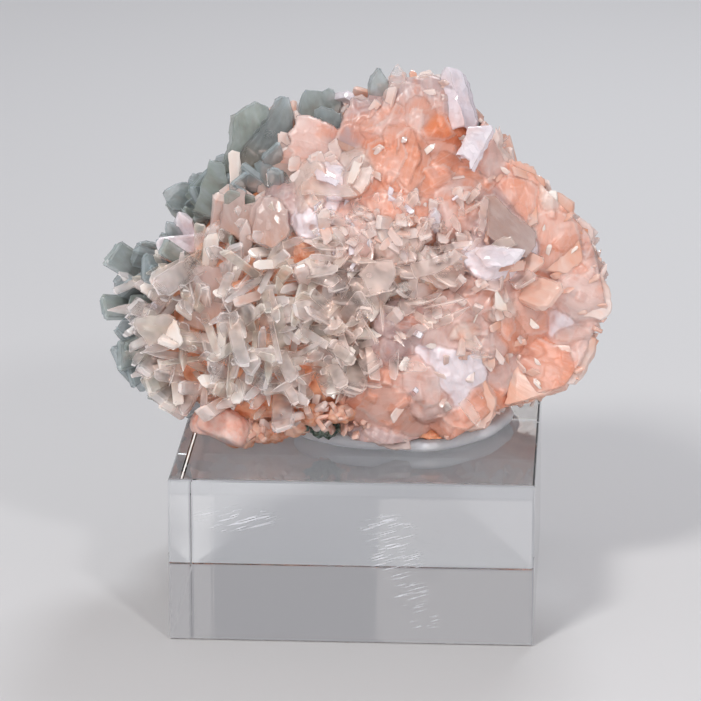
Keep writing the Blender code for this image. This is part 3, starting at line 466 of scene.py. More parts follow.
# %% Plates at the top and on the left
TOP_PLATES = (
    ("slate", 2, -8, 5, (0, 0), 100, (
        (-28, 38), (-25.6, 45), (-25.2, 50.4), (-23, 52), (-20, 53.8), (-17.6, 52.4), (-18, 44), (-21, 38))),
    ("slate", 2, -4, 4.5, (0.2, 0), 65, (
        (-25, 39), (-22.5, 44.2), (-19, 48.2), (-15.6, 54), (-14.8, 54.7), (-13.3, 54.5), (-12.4, 51),
        (-12.4, 44), (-16, 38))),
    ("cream", 1, -1, 3, (0.4, 0), 100, (
        (-26.4, 41.6), (-25.8, 43.4), (-24, 42.8), (-22.6, 36), (-24, 31), (-25.6, 33))),
    ("slate", 2, -3, 4, (-0.2, 0), 140, ((-34, 30), (-30.4, 41.2), (-27, 40), (-25.8, 33), (-28, 28))),
    ("slate", 2, -9, 4, (0, 0), 95, (
        (-11.8, 46), (-11, 54), (-9.8, 56.2), (-6, 55.9), (-5, 56.7), (-3.8, 56.3), (-2, 53.8), (-3, 47))),
    ("taupe", 1, -1, 3, (0, 0), 100, (
        (-20, 34), (-19, 41), (-15, 45), (-12.6, 44), (-12, 40), (-10, 37), (-11, 33), (-16, 33))),
    ("slate", 2, -3, 4, (0, 0), 80, ((-8, 47), (-7.8, 52), (-6, 52.8), (-2, 51), (-1.2, 48), (-4, 45))),
    ("rose", 4, 1.5, 5, (0.1, 0), (3, 41.5), (
        (-1, 37.5), (-8, 38.6), (-12.7, 41.6), (-12.1, 42.5), (-13.2, 44), (-12.5, 45.2), (-13.3, 46.6),
        (-12, 48.2), (-11.4, 50.6), (-9, 50.5), (-3.2, 47.8), (0.5, 44))),
    ("slate", 2, 1, 4, (-0.3, 0.2), 150, (
        (-21, 40.2), (-19.6, 41), (-14, 38.4), (-12.6, 36.2), (-16, 34.8), (-18.4, 35.2))),
    ("taupe", 2, 2, 4, (-0.2, 0), 110, (
        (-28.2, 26.5), (-27.6, 31.8), (-24, 35), (-22.6, 34.2), (-22.8, 31.6), (-21.2, 31.4), (-20.8, 27),
        (-24, 24))),
    ("taupe", 2, 3, 3.5, (0.1, 0), 95, (
        (-21.4, 24), (-20.4, 31), (-18.4, 33.2), (-15.4, 32.8), (-13.6, 30), (-13.2, 25), (-17, 22))),
    ("taupe", 1, 2, 3, (0.3, 0), 80, (
        (-15.4, 33), (-14.6, 34.4), (-12, 34.6), (-10.8, 31.6), (-12.4, 29.6))),
    ("pearl", 1, 6, 3, (0, 0.3), -75, (
        (-8.4, 33.2), (-5.2, 33), (-6.2, 29.2), (-7.2, 27.2), (-9.4, 27.2), (-10.3, 28.8))),
    ("cream", 1, 5.4, 3, (-0.8, 0), -75, (
        (-8.5, 38), (-10, 34), (-11.4, 29.8), (-10.9, 28.4), (-10.2, 28.6), (-8.4, 33))),
    ("haze", 1, 5, 2, (0, 0.4), 0, (
        (-10.6, 35.8), (-8.4, 37.6), (-4, 36.9), (0, 35.2), (1.2, 33.4), (-2, 33), (-8.4, 33.9),
        (-10.8, 33.4))),
    ("pearl", 1, 6.4, 1.5, (0, 0.3), -20, (
        (-8, 38.4), (-7.3, 39), (-2.3, 36.7), (-3.3, 35.4), (-7.2, 36.8))),
    ("cream", 1, 6, 1.5, (0, 0), 70, (
        (-1, 36), (0.9, 41.6), (2.7, 42.2), (3, 41.6), (2, 38.4), (0.4, 35.9))),
    ("haze", 1, 5.4, 1.5, (0, 0), 60, (
        (0.6, 35.2), (2.4, 39.6), (4.4, 40.1), (5, 38.6), (4, 36), (2.4, 33.6))),
    ("taupe", 3, 2.5, 5, (0, 0.1), 80, (
        (-3.2, 44.6), (-1, 51), (0.8, 54.6), (2.3, 55.3), (3.6, 54.2), (6.3, 51), (4.4, 47), (5.6, 44.2),
        (0, 42))),
    ("taupe", 3, -1, 5, (0, 0.2), 90, (
        (6.2, 51.5), (7.4, 56.6), (9, 57.9), (12, 57.8), (15.2, 56.8), (16.5, 55.4), (17.6, 56.2),
        (19.2, 55.4), (19.2, 53), (16, 51), (12, 50))),
    ("pearl", 2, -1.2, 5, (-0.7, 0), 100, (
        (18.2, 53), (19.4, 59.4), (20.6, 61.1), (21.3, 61.2), (23, 55), (24.8, 48.6), (21, 47))),
    ("pearl", 2, -0.8, 5, (0.7, 0), 100, (
        (21.1, 61.1), (23.2, 60.9), (24.3, 59.8), (25.6, 55.5), (27.3, 49.2), (26, 46),
        (24.2, 48.6), (22.6, 55))),
    ("pearl", 2, 5, 2.5, (0.1, 0), (20, 50), (
        (22.8, 42), (24.8, 46.4), (25.4, 48.3), (30.4, 48.5), (30.7, 47.8), (28.6, 43.4), (26.3, 39.2),
        (25.5, 39.2), (25.6, 41), (24.2, 42))),
    ("rose", 2, -1, 5, (0.3, 0), 80, (
        (28, 37.6), (29.5, 43.5), (31.4, 48.2), (32.3, 46), (31.8, 44), (34.2, 41.4),
        (33.8, 37.8), (31, 35.4))),
    ("rose", 2, 4.5, 2, (0.1, 0.1), 60, (
        (3.4, 47.3), (6, 48.6), (8.6, 50.2), (10, 53.4), (11.4, 52.8), (12.4, 50), (10.6, 46.4), (7, 45.4),
        (6.2, 46.8))),
    ("rose", 1, 5, 2, (-0.2, 0), 80, (
        (12.8, 50.4), (13.4, 51.9), (15, 51.7), (15.8, 49.4), (14.6, 47.3), (13, 48.3))),
    ("ember", 2, 2, 5, (0.3, 0.2), 60, (
        (14.6, 50.8), (16, 52), (18.6, 51.9), (20.2, 50.6), (22.6, 46.5), (20.6, 45.4),
        (17, 45.6), (15.2, 47.6))),
    ("salmon", 2, 3, 5, (-0.2, 0), 75, (
        (2.4, 38), (4, 44.6), (7, 45.6), (10.6, 46.4), (12, 42), (9, 36), (5, 33.6))),
    ("salmon", 2, 3.6, 5, (0.1, 0), 80, (
        (10.4, 46.4), (12.6, 48.3), (14.6, 47.2), (18, 43), (15.5, 36.5), (12.8, 33.6), (9.6, 37))),
    ("salmon", 2, 4, 4.5, (0.1, 0.2), 40, (
        (14.4, 46.6), (17, 45.8), (22.4, 46), (22.6, 42.2), (20, 39.8), (16, 38.6), (14.6, 42))),
    ("salmon", 2, 3.4, 5, (0, -0.2), 30, (
        (16, 39), (20.2, 40), (22.4, 38), (20, 34.6), (17, 32.6), (13, 33.6), (13.6, 37))),
    ("salmon", 2, 4.4, 4, (0, 0.3), 0, (
        (20.4, 40), (25, 39.6), (27.6, 38.4), (31, 36), (30, 34.4), (26.4, 35), (20.4, 34.2), (18, 36))),
)

# %% Plates on the right and below
LOW_PLATES = (
    ("rose", 2, 4.6, 3, (0.1, 0), 70, (
        (18.6, 34), (20, 34.8), (26, 35.2), (27.4, 33), (27, 27), (24, 24.6), (20, 26), (17.8, 30))),
    ("salmon", 2, 4, 4, (-0.1, 0), 80, (
        (3, 32.6), (7, 34.2), (12.4, 33.4), (13.6, 28), (10, 25.6), (5, 28))),
    ("salmon", 2, 3.6, 4, (0.1, 0), 70, (
        (12.6, 33.4), (16.6, 32.4), (18.6, 31), (18, 26), (14, 25), (12.6, 28))),
    ("taupe", 2, 6, 2.4, (0.15, 0), -45, (
        (29, 33.2), (31, 33.4), (33.5, 31), (35, 29.4), (38.5, 27), (40, 25.4), (40, 22.8), (38, 20.2),
        (34, 20.6), (29.6, 25))),
    ("haze", 1, 7.4, 1.5, (0, 0), 10, (
        (30.3, 22.9), (31.5, 24), (33, 24.6), (34.8, 24.2), (36.1, 22.9), (34, 22), (31.5, 22.2))),
    ("pearl", 2, 7, 2, (0, 0.2), -10, (
        (26.8, 20.6), (28, 22.4), (30, 22.8), (35, 22.1), (37.6, 21.8), (36, 19.4), (34, 18.2), (31, 18),
        (29, 18.1), (28, 19.6))),
    ("haze", 1, 7, 1.6, (0.2, 0), 88, (
        (27.6, 26), (28, 32), (28.8, 33.4), (29.9, 32.8), (29.4, 27.4), (28.7, 25.4))),
    ("salmon", 2, -1, 6, (0.2, 0), 80, (
        (33.8, 36.6), (34.9, 41.2), (37.5, 40.1), (39.3, 39.7), (40, 38), (42, 36.8), (42.3, 35.4),
        (40.5, 35), (38, 36))),
    ("salmon", 3, 2, 6, (0.1, 0.1), 100, (
        (31.4, 34.8), (33, 37), (36, 37.7), (39, 36.3), (40, 35), (39.5, 31), (38.2, 28), (36.5, 27.6),
        (34, 31), (32.5, 33))),
    ("cream", 1, 2, 4, (0, 0), 90, (
        (41, 30.8), (41.6, 33.3), (43.3, 34.5), (44.4, 34.3), (44.8, 30.4), (43.2, 29.4))),
    ("salmon", 2, 0, 5, (0.3, 0), 60, (
        (44.2, 30), (44.3, 34.1), (45.3, 33.8), (48.1, 31.8), (47.9, 29.4), (46.5, 28.4))),
    ("salmon", 4, 2.5, 6, (0.15, 0), (44, 36), (
        (38, 28.3), (43, 30.2), (46.6, 29.3), (48.6, 27.2), (50, 21.5), (50.4, 16), (46, 16.4), (41, 17.3),
        (37.4, 20), (39.8, 22.6), (40, 25.5))),
    ("rose", 2, -3, 4, (0.2, 0), 95, (
        (48.2, 27.6), (49.5, 28.5), (51.8, 27.1), (52.6, 26), (52, 22.4), (50.8, 19.6), (49.4, 22))),
    ("taupe", 2, -2, 4, (0.5, 0), -60, (
        (50, 15.5), (50.6, 20), (52, 22.4), (53.8, 19.4), (55.4, 15.8), (54, 14.6))),
    ("rose", 3, 3, 5, (0.1, 0), -30, (
        (43.8, 12.4), (46, 15.4), (48, 16.3), (50.4, 16.2), (52, 17.9), (54.5, 15.6), (55.6, 14), (56.6, 10),
        (56.1, 8), (54.2, 6.5), (51.5, 7), (48, 7.2), (45, 9))),
    ("pearl", 1, 4.6, 2, (0, 0), -90, (
        (43.4, 8.7), (44.2, 5.2), (45.8, 5), (46.9, 6.6), (46, 7.7), (44.5, 8.9))),
    ("taupe", 2, -1, 4, (0, 0), 0, ((45.6, 7), (49, 7.5), (52.1, 6.2), (51.8, 4.9), (49, 4.4), (46.2, 5.2))),
    ("rose", 1, 1, 4, (0, 0), 0, ((43.8, 5), (51.7, 4.7), (52.2, 3.2), (47, 2.3), (44.3, 2.9))),
    ("salmon", 4, 3, 6, (0.1, 0.05), (24, 6), (
        (35.6, 4), (40, 3.1), (43, 1.2), (48.6, 1.2), (49.4, -2), (48.5, -4.5), (47, -7.2), (46.5, -8),
        (41, -9.9), (36, -11.3), (33.2, -11.8), (34, -8), (34.2, -2))),
    ("rose", 2, 1, 5, (0.3, 0), -80, (
        (48.6, 1.4), (51.5, 3.5), (53.1, 2.5), (52.6, 0), (50.5, -4.3), (48, -7.3), (46.8, -7.3),
        (48.4, -4.5), (49.3, -1.5))),
    ("salmon", 2, 4, 4, (0.1, 0.1), 20, (
        (34.4, 8.6), (35.6, 12.6), (40, 13.2), (43, 10.6), (43.7, 8), (44, 4.4), (40, 3.6), (36, 3.8),
        (34.6, 6))),
    ("salmon", 2, 3, 4, (0.1, 0.3), 20, (
        (34, 12.5), (35, 15.5), (39.6, 17.8), (42, 17), (44.5, 15), (43.4, 11.6), (40, 13))),
    ("salmon", 1, 5, 4, (0, 0), 90, ((32.4, 4.4), (33, 8.4), (35, 8.5), (35.2, 4.2), (34, 2))),
    ("cream", 1, 6.4, 1.6, (0.1, 0), 110, (
        (31, 9.4), (31.2, 12), (31.7, 12.9), (32.6, 11.7), (33.7, 9.6), (34.1, 8.5), (32.6, 8.1))),
    ("rose", 2, 3.4, 5, (0.1, 0), -60, (
        (29.6, -1.6), (33.8, -2.3), (34.4, -5), (33.7, -8.5), (33, -10.2), (31, -8.9), (28.4, -7),
        (27.2, -4.2))),
    ("pearl", 3, 6, 4, (0, 0), -65, (
        (16.8, 0.2), (19, 0.8), (22, 0.1), (25, -0.4), (26.4, -2), (26.5, -5), (25.6, -8.6), (24, -12),
        (21, -12.6), (19.2, -11), (19, -6), (17, -2.4))),
    ("salmon", 3, 5, 6, (0.1, -0.2), -45, (
        (18, -11.6), (19.4, -14.8), (22, -16.4), (25.8, -17.4), (29, -16.8), (31, -14), (31.4, -10.4),
        (29.6, -7.4), (26.6, -4.4), (26, -8.6), (24, -12.2), (21, -13))),
    ("rose", 2, 5, 4, (-0.1, 0.1), 170, (
        (8, -5.8), (12.6, -4.4), (15.4, -4), (18.6, -2.6), (19, -6), (19, -11.6), (16, -12.2), (12, -9),
        (9.2, -7))),
    ("salmon", 3, 6, 5, (-0.1, -0.1), (22, -8), (
        (1.6, -12.2), (2.6, -11.6), (2.9, -10), (3.6, -9.6), (4, -7.8), (7, -6.8), (9.2, -7.4), (12.4, -9.2),
        (17.6, -12), (18.6, -14.6), (18, -18), (13, -18.4), (8, -16.6), (4.4, -14.4))),
    ("taupe", 2, 1, 5, (0, 0), -30, (
        (2.4, -16.4), (4.4, -14.8), (8.4, -17.2), (12.8, -19.6), (13, -21), (10, -21.6),
        (6, -20.6), (3.4, -18.6))),
    ("taupe", 2, 1.5, 5, (0.1, 0), -60, (
        (6.8, 2), (9.2, 4.4), (11, 3.8), (13, 1.8), (13.6, -1.2), (13.2, -2.4), (9.4, -3.6),
        (7.4, -3), (6.4, -1))),
    ("taupe", 1, 5, 1.8, (0.1, 0.1), -10, (
        (8, 6.2), (10, 7.8), (13, 7.9), (14.8, 6.8), (15.6, 5), (14, 4.4), (11, 4.8), (8.8, 5.6))),
    ("rose", 2, 3, 4, (0, 0.1), 60, (
        (15.6, 1.2), (16.4, 6), (20, 10), (24, 11), (27, 9), (30, 5), (31, 1), (27, -0.4),
        (22, 0), (19, 0.8))),
    ("cream", 1, 4.4, 2.5, (0, 0), 40, (
        (20.6, 0.8), (22, 4.2), (25, 6), (28, 5.4), (28.6, 2.4), (24.6, 0))),
    ("rose", 1, 5, 2.5, (0.1, 0), -80, ((27.6, 1), (29.2, 2.8), (31.4, 2.4), (31, -1), (28.6, -0.9))),
    ("rose", 2, 4, 3, (0, 0.1), 60, ((24, 12), (27.5, 18), (31, 17), (33, 12.5), (31, 8.6), (26.5, 8))),
    ("taupe", 1, -2, 3, (-0.1, 0), 100, (
        (-36, 15), (-33, 18.4), (-28, 18), (-26, 13), (-27.6, 7), (-31, 4), (-36, 6))),
    ("haze", 1, 4, 3, (-0.3, 0), 110, (
        (-43.2, 11), (-42, 16.4), (-40, 16.6), (-37.6, 13.6), (-39, 10.4), (-41, 9.8))),
    ("haze", 1, 6, 2, (-0.2, 0), 170, (
        (-46.9, 5.4), (-46.4, 6.8), (-40, 8), (-37.8, 7.2), (-40.4, 2), (-43.6, 0.8), (-44.8, 3))),
    ("cream", 1, 7, 2, (0.1, 0), -60, ((-39.9, 3.2), (-38.2, 7), (-37.2, 5.6), (-36, 1.8), (-37.4, 0.4))),
    ("rose", 2, 3, 3, (0.1, 0), 100, ((-4, 24), (-1, 29), (2, 29.4), (6, 26), (5, 21), (0, 20), (-4, 21))),
    ("cream", 1, 5, 2, (0, 0), 120, (
        (5.2, 21), (5, 25.6), (7, 28.6), (10.6, 27), (12.6, 24), (11, 21.4), (8, 20))),
    ("haze", 1, 6, 2, (0, 0.1), -60, ((1.8, 16.6), (4.6, 19.4), (9.4, 19.6), (10, 16), (8, 12.8), (4, 12))),
    ("haze", 1, 5.6, 1.8, (0.1, 0), -30, (
        (12.8, 18.6), (18, 20), (22.6, 21.8), (24.4, 20.6), (22, 18.4), (18, 16.6), (14, 15.4))),
)
PLATES = TOP_PLATES + LOW_PLATES
print(len(PLATES), "plates")

# %% [markdown]
# The ragged edge is made by cutting each side of the outline into short steps and shifting every point
# by a small random amount. A smooth outline would look moulded, because real plates break and end in
# steps.

# %% Plates as arrays
STAND_OUT = 3.0
PLATE_SHARE = 0.88
PLATE_LIE = 0.6
LIE_STEP = 2.0
EDGE_STEP = 1.1
EDGE_JITTER = 0.12
BEVEL = 0.28
BEVEL_SHARE = 0.35
PAGE_SPACING = 0.96
PAGE_GROWTH = (-0.05, 0.02)
PAGE_SLIDE = 0.35


def plate_depth(u, v):
    """The core's face under a place, but for one near the outline the face at 88% of the way out."""
    u, v = np.asarray(u, float), np.asarray(v, float)
    angle, distance = from_heart(u, v)
    _, radius, _ = around(angle)
    share = np.minimum(1, PLATE_SHARE * radius / (distance + 1e-6))
    return face_depth(HEART[0] + (u - HEART[0]) * share, HEART[1] + (v - HEART[1]) * share)


def plate_plane(row):
    """The plate's middle in the picture, the depth of its front there, and the two slopes it lies at."""
    _, _, ahead, _, slopes, _, outline = row
    centre = np.mean(outline, axis=0)
    lie = np.array([
        (plate_depth(centre[0] + LIE_STEP, centre[1]) - plate_depth(centre[0] - LIE_STEP, centre[1])),
        (plate_depth(centre[0], centre[1] + LIE_STEP) - plate_depth(centre[0], centre[1] - LIE_STEP)),
    ]) / (2 * LIE_STEP) * PLATE_LIE + slopes
    return centre, float(plate_depth(*centre)) - ahead - STAND_OUT, lie


def ragged(outline, local):
    """The outline, counter-clockwise, cut into short steps whose ends are shifted at random."""
    corners = np.array(outline, float)
    after = np.roll(corners, -1, axis=0)
    if np.sum(corners[:, 0] * after[:, 1] - corners[:, 1] * after[:, 0]) < 0:
        corners = corners[::-1]
        after = np.roll(corners, -1, axis=0)
    cuts = np.maximum(np.round(np.linalg.norm(after - corners, axis=1) / EDGE_STEP), 1).astype(int)
    share = np.concatenate([np.arange(number) / number for number in cuts])[:, None]
    start, end = np.repeat(corners, cuts, axis=0), np.repeat(after, cuts, axis=0)
    points = start + (end - start) * share
    return points + local.normal(0, EDGE_JITTER, points.shape)


def grooves(flat, centre, grain):
    """Coordinates across and along the grooves: turned by an angle, or round and out from a point."""
    if isinstance(grain, tuple):
        away = flat - grain
        along = np.hypot(away[..., 0], away[..., 1])
        return np.arctan2(away[..., 1], away[..., 0]) * along.mean(), along
    turn = math.radians(grain)
    offset = flat - centre
    along, across = turned(offset[..., 0], offset[..., 1], math.cos(turn), math.sin(turn))
    return across, along


def plate_pages(row, local):
    """For each page: corners, own coordinates, share along the grooves, and rim. Four rings
    of the outline go from the back to the front, and the first and last are drawn in for the bevel."""
    _, pages, _, thick, _, grain, outline = row
    centre, depth, lie = plate_plane(row)
    page_thick = thick / pages
    layers = []
    for page in range(pages):
        points = ragged(outline, local)
        if page:
            growth = 1 + local.uniform(*PAGE_GROWTH)
            points = centre + (points - centre) * growth + local.normal(0, PAGE_SLIDE, 2)
        layers.append((points, page * page_thick * PAGE_SPACING, page_thick))
    for points, start, deep in layers:
        inward = points.mean(axis=0) - points
        inward /= np.linalg.norm(inward, axis=1, keepdims=True) + 1e-6
        bevel = min(BEVEL, deep * BEVEL_SHARE)
        rings = (
            (points + inward * bevel, start + deep), (points, start + deep - bevel),
            (points, start + bevel), (points + inward * bevel, start),
        )
        flat = np.stack([ring for ring, _ in rings])
        behind = np.stack([np.full(len(points), offset) for _, offset in rings])
        reach = depth + (flat - centre) @ lie + behind
        corners = sight(flat[..., 0], flat[..., 1], reach)
        across, along = grooves(flat, centre, grain)
        own = np.stack((across, behind, along), axis=-1)
        share = (along - along.min()) / (np.ptp(along) + 1e-6)
        # The two outer rings are rim, where the finish paints a highlight.
        rim = np.zeros(flat.shape[:2])
        rim[1:3] = 1.0
        yield corners.reshape(-1, 3), len(points), own.reshape(-1, 3), share.ravel(), rim.ravel()


def pile_of_plates(rows, seed):
    """All plates of one finish as one mesh: corners, faces and values."""
    local = np.random.default_rng(seed)
    corners, faces, owns, alongs, tones, rims = [], [], [], [], [], []
    first = 0
    for row in rows:
        tone = local.uniform()
        shift = local.uniform(0, 90, 3)
        for points, sides, own, along, rim in plate_pages(row, local):
            here = np.arange(sides)
            beside = (here + 1) % sides
            for ring in range(3):
                start = first + ring * sides
                wall = (start + here, start + beside, start + sides + beside, start + sides + here)
                faces.append(np.stack(wall, axis=-1))
            faces.append(first + here[None, ::-1])
            faces.append(first + 3 * sides + here[None])
            corners.append(points)
            owns.append(own + shift)
            alongs.append(along)
            tones.append(np.full(len(points), tone))
            rims.append(rim)
            first += len(points)
    values = {
        "own": np.vstack(owns), "along": np.concatenate(alongs), "tone": np.concatenate(tones),
        "rim": np.concatenate(rims),
    }
    return np.vstack(corners), faces, values


print("plates' edges are cut into steps of", EDGE_STEP, "mm")

# %% [markdown]
# ## The mass of grown-together plates
#
# In the salmon part the plates are grown together into one mass, and light runs on from one to the
# next. A pile of overlapping boxes can't do that, because light that scatters inside one is stopped at
# the next one's skin. So the mass is a single surface: over a fine grid of the picture, its depth is
# the least of all plates' depths. A plate's own depth is its plane, turned down along a few straight
# lines for facets and dropped along others for cleavage steps. Outside its outline it falls back
# steeply and then gently, so neighbours meet in shallow valleys.

# %% Depth of one plate over the grid
RELIEF = 0.5
FOLLOW = 1.45
WALL_FALL = 3.0
APRON_SINK = 0.5
APRON_FALL = 0.45
DOME = 0.004
APRON_REACH = 3.0
SKIRT_FALL = 5.0
FACETS = 3
FACET_SLOPES = (0.1, 0.5)
STEPS = 3
STEP_HEIGHT = 0.3
STEP_SHARES = (0.2, 1.0)
STEP_RUN = 0.2
CUT_AT = (0.15, 0.8)
WAVER = 0.25
RIM_BAND = 0.5
CUT_BAND = 0.3
FACET_RIM = 0.1
STEP_RIM = 0.3


def beyond(places, outline):
    """How far each place is outside a closed outline, less than 0 within: the least distance to a side,
    with the inside found by counting the sides that a level line to the right crosses."""
    start = np.array(outline, float)
    end = np.roll(start, -1, axis=0)
    side = end - start
    offset = places[:, None] - start
    share = np.clip((offset * side).sum(-1) / (side ** 2).sum(-1), 0, 1)
    least = np.linalg.norm(offset - share[..., None] * side, axis=-1).min(axis=1)
    level = (start[:, 1] > places[:, None, 1]) != (end[:, 1] > places[:, None, 1])
    crossing = start[:, 0] + offset[..., 1] * side[:, 0] / np.where(side[:, 1] == 0, 1e-9, side[:, 1])
    inside = (level & (crossing > places[:, None, 0])).sum(axis=1) % 2 == 1
    return np.where(inside, -least, least)


def plate_relief(row, places, local):
    """Depth, share of rim, and the coordinates across and along the grooves, at each place."""
    _, _, ahead, _, slopes, grain, outline = row
    centre, front, lie = plate_plane(row)
    front = front + ahead * (1 - RELIEF)
    lie = (lie - slopes) * FOLLOW + np.array(slopes)
    offset = places - centre
    depth = front + offset @ lie + DOME * (offset ** 2).sum(axis=1)
    edge = ragged(outline, local)
    out = beyond(places, edge)
    # The rim share marks the outline, and below it the facet lines and steps; the mass's finish paints a
    # highlight along them.
    rim = np.clip(1 + out / RIM_BAND, 0, 1) * (out < CUT_BAND)
    size = np.linalg.norm(edge - centre, axis=1).mean()
    for cut in range(FACETS + STEPS):
        way = local.uniform(0, 2 * math.pi)
        past = offset @ (math.cos(way), math.sin(way)) - size * local.uniform(*CUT_AT)
        if cut < FACETS:
            depth = depth + local.uniform(*FACET_SLOPES) * np.maximum(past, 0)
        else:
            past = past + WAVER * np.sin(offset @ (-math.sin(way), math.cos(way)) * local.uniform(1, 3))
            depth = depth + STEP_HEIGHT * local.uniform(*STEP_SHARES) * np.clip(past / STEP_RUN, 0, 1)
        line = FACET_RIM if cut < FACETS else STEP_RIM
        rim = np.maximum(rim, np.clip(1 - np.abs(past) / CUT_BAND, 0, 1) * line)
    out = np.maximum(out, 0)
    depth = np.minimum(depth + WALL_FALL * out, depth + APRON_SINK + APRON_FALL * out)
    depth = depth + SKIRT_FALL * np.maximum(out - APRON_REACH, 0)
    return depth, rim, *grooves(places, centre, grain), out


print("a plate has", FACETS, "facets and", STEPS, "steps")

# %% Which plates are grown together
LOOSE_AHEAD = 5.3
RIM_SHARE = 0.96
TUCK = 0.9
CREST_ABOVE = 43.0
GREY_LEFT = -16.0
THIN_PLATE = 2.6
BARE_LEFT = 3.0


def at_rim(row):
    """True for a plate that touches the outline."""
    angle, distance = from_heart(*np.array(row[-1], float).T)
    reach, _, _ = around(angle)
    return np.any(distance > RIM_SHARE * reach)


def tucked(row):
    """The same plate just behind the mass's own face, so that only its edge shows."""
    finish, pages, ahead, *others = row
    return (finish, pages, ahead * RELIEF - TUCK, *others)


def is_grown(row):
    """True for a plate in the mass: neither clear nor grey, right of the left part, no pearly crest."""
    crest = np.mean(row[-1], axis=0)[1] > CREST_ABOVE and row[0] == "pearl"
    return row[0] not in ("slate", "haze") and row[-1][0][0] > GREY_LEFT and not crest


def is_loose(row):
    """True for a plate of its own: one outside the mass, or a thin one well in front of it."""
    return not is_grown(row) or (row[2] > LOOSE_AHEAD and row[3] < THIN_PLATE)


grown_plates = [row for row in PLATES if is_grown(row)]
loose_plates = [row for row in PLATES if is_loose(row)]
loose_plates += [tucked(row) for row in grown_plates if row not in loose_plates and at_rim(row)]
print(len(grown_plates), "plates in the mass,", len(loose_plates), "loose ones")

# %% [markdown]
# The grid covers a rectangle of the picture. Where it passes the outline, its points turn back along a
# quarter of an ellipse, which makes the side wall and ends inside the core. Behind, a few rings close
# it at a pole, so the mass is one closed body. Small tiles, each tilted its own way, break its faces
# up: the tile that stands highest at a place is the one that shows.

# %% The surface of the mass
MASS_BOX = (-15.5, -23.5, 57.5, 60.5)
MASS_STEP = 0.27
MASS_INSET = 1.0
WALL_RUN = 7.0
WALL_DEEP = 13.0
WALL_IN = 9.0
WALL_CLOSE = 0.25
MARGIN_STEPS = 9
TILES = 1300
TILE_WALL = 2.2
TILE_LEAN = 0.3
MIDDLE_RIGHT = 28.0
MIDDLE_BELOW = 3.0
MIDDLE_ABOVE = 31.0
TILE_HALF_WIDTHS = (0.4, 1.3)
TILE_HALF_LENGTHS = (0.7, 2.4)
TILE_SIZES = (0.0, 0.5, 1.0)
TILE_SHARES = (0.5, 0.35, 0.15)
TILE_RISES = (0.1, 0.9)
MIDDLE_TILE = 0.8
NO_TILES_LEFT = 2
NO_TILES_ABOVE = 36
NEAR = 5
FAR = 9.0
HIDDEN = 2.5
MASS_CAP = 4
MASS_POLE = (22.0, 14.0, 2.0)
DEPTH_BLUR = 1
SHEEN_BLUR = 6
TINT_BLUR = 9
TINTS = {
    "cream": (0.74, 0.57, 0.51), "rose": (0.72, 0.47, 0.42), "salmon": (0.78, 0.37, 0.27),
    "ember": (0.76, 0.25, 0.12), "taupe": (0.50, 0.34, 0.33), "pearl": (0.84, 0.68, 0.71),
}


def spaced(start, end):
    """Places a step apart from start to end, and a few a millimetre apart past either one."""
    margin = np.arange(1, MARGIN_STEPS + 1)
    inner = np.linspace(start, end, round((end - start) / MASS_STEP))
    return np.concatenate((start - margin[::-1], inner, end + margin))


grid_u, grid_v = np.meshgrid(spaced(MASS_BOX[0], MASS_BOX[2]), spaced(MASS_BOX[1], MASS_BOX[3]))
offset = np.stack((grid_u.ravel(), grid_v.ravel()), axis=-1) - HEART
radius = np.hypot(*offset.T)
reach, core_radius, _ = around(np.arctan2(offset[:, 1], offset[:, 0]))
passed = np.maximum(radius - reach + MASS_INSET, 0)
wall_turn = np.clip(passed / WALL_RUN, 0, 1) * math.pi / 2
wall_in = WALL_IN * (1 - np.cos(wall_turn)) + WALL_CLOSE * np.maximum(passed - WALL_RUN, 0)
drawn = np.minimum(radius, reach - MASS_INSET - wall_in) / (radius + 1e-6)
places = offset * drawn[:, None] + HEART

mass_depth = plate_depth(*places.T) + HIDDEN
mass_values = {
    "tint": np.tile(TINTS["rose"], (len(places), 1)), "rim": np.zeros(len(places)),
    "own": np.zeros((len(places), 3)), "tone": np.zeros(len(places)), "sheen": np.zeros(len(places)),
}
local = np.random.default_rng(61)
covered = np.zeros(len(places), bool)
least_out = np.full(len(places), FAR)
for row in grown_plates:
    outline = np.array(row[-1])
    near = np.all((places > outline.min(axis=0) - NEAR) & (places < outline.max(axis=0) + NEAR), axis=1)
    near = np.flatnonzero(near)
    depth, rim, across, along, out = plate_relief(row, places[near], local)
    least_out[near] = np.minimum(least_out[near], out)
    wins = depth < mass_depth[near]
    chosen = near[wins]
    mass_depth[chosen] = depth[wins]
    covered[chosen] = True
    shift = local.uniform(0, 90, 2)
    mass_values["own"][chosen] = np.stack((across + shift[0], 0 * across, along + shift[1]), axis=-1)[wins]
    mass_values["rim"][chosen] = rim[wins]
    mass_values["tint"][chosen] = TINTS[row[0]]
    mass_values["tone"][chosen] = local.uniform()
    mass_values["sheen"][chosen] = row[0] == "pearl"
bare = (least_out > 0.5) & (radius > core_radius) & (grid_v.ravel() > CREST_ABOVE)
covered &= ~(bare & (grid_u.ravel() < BARE_LEFT))
relief = np.zeros(len(places))
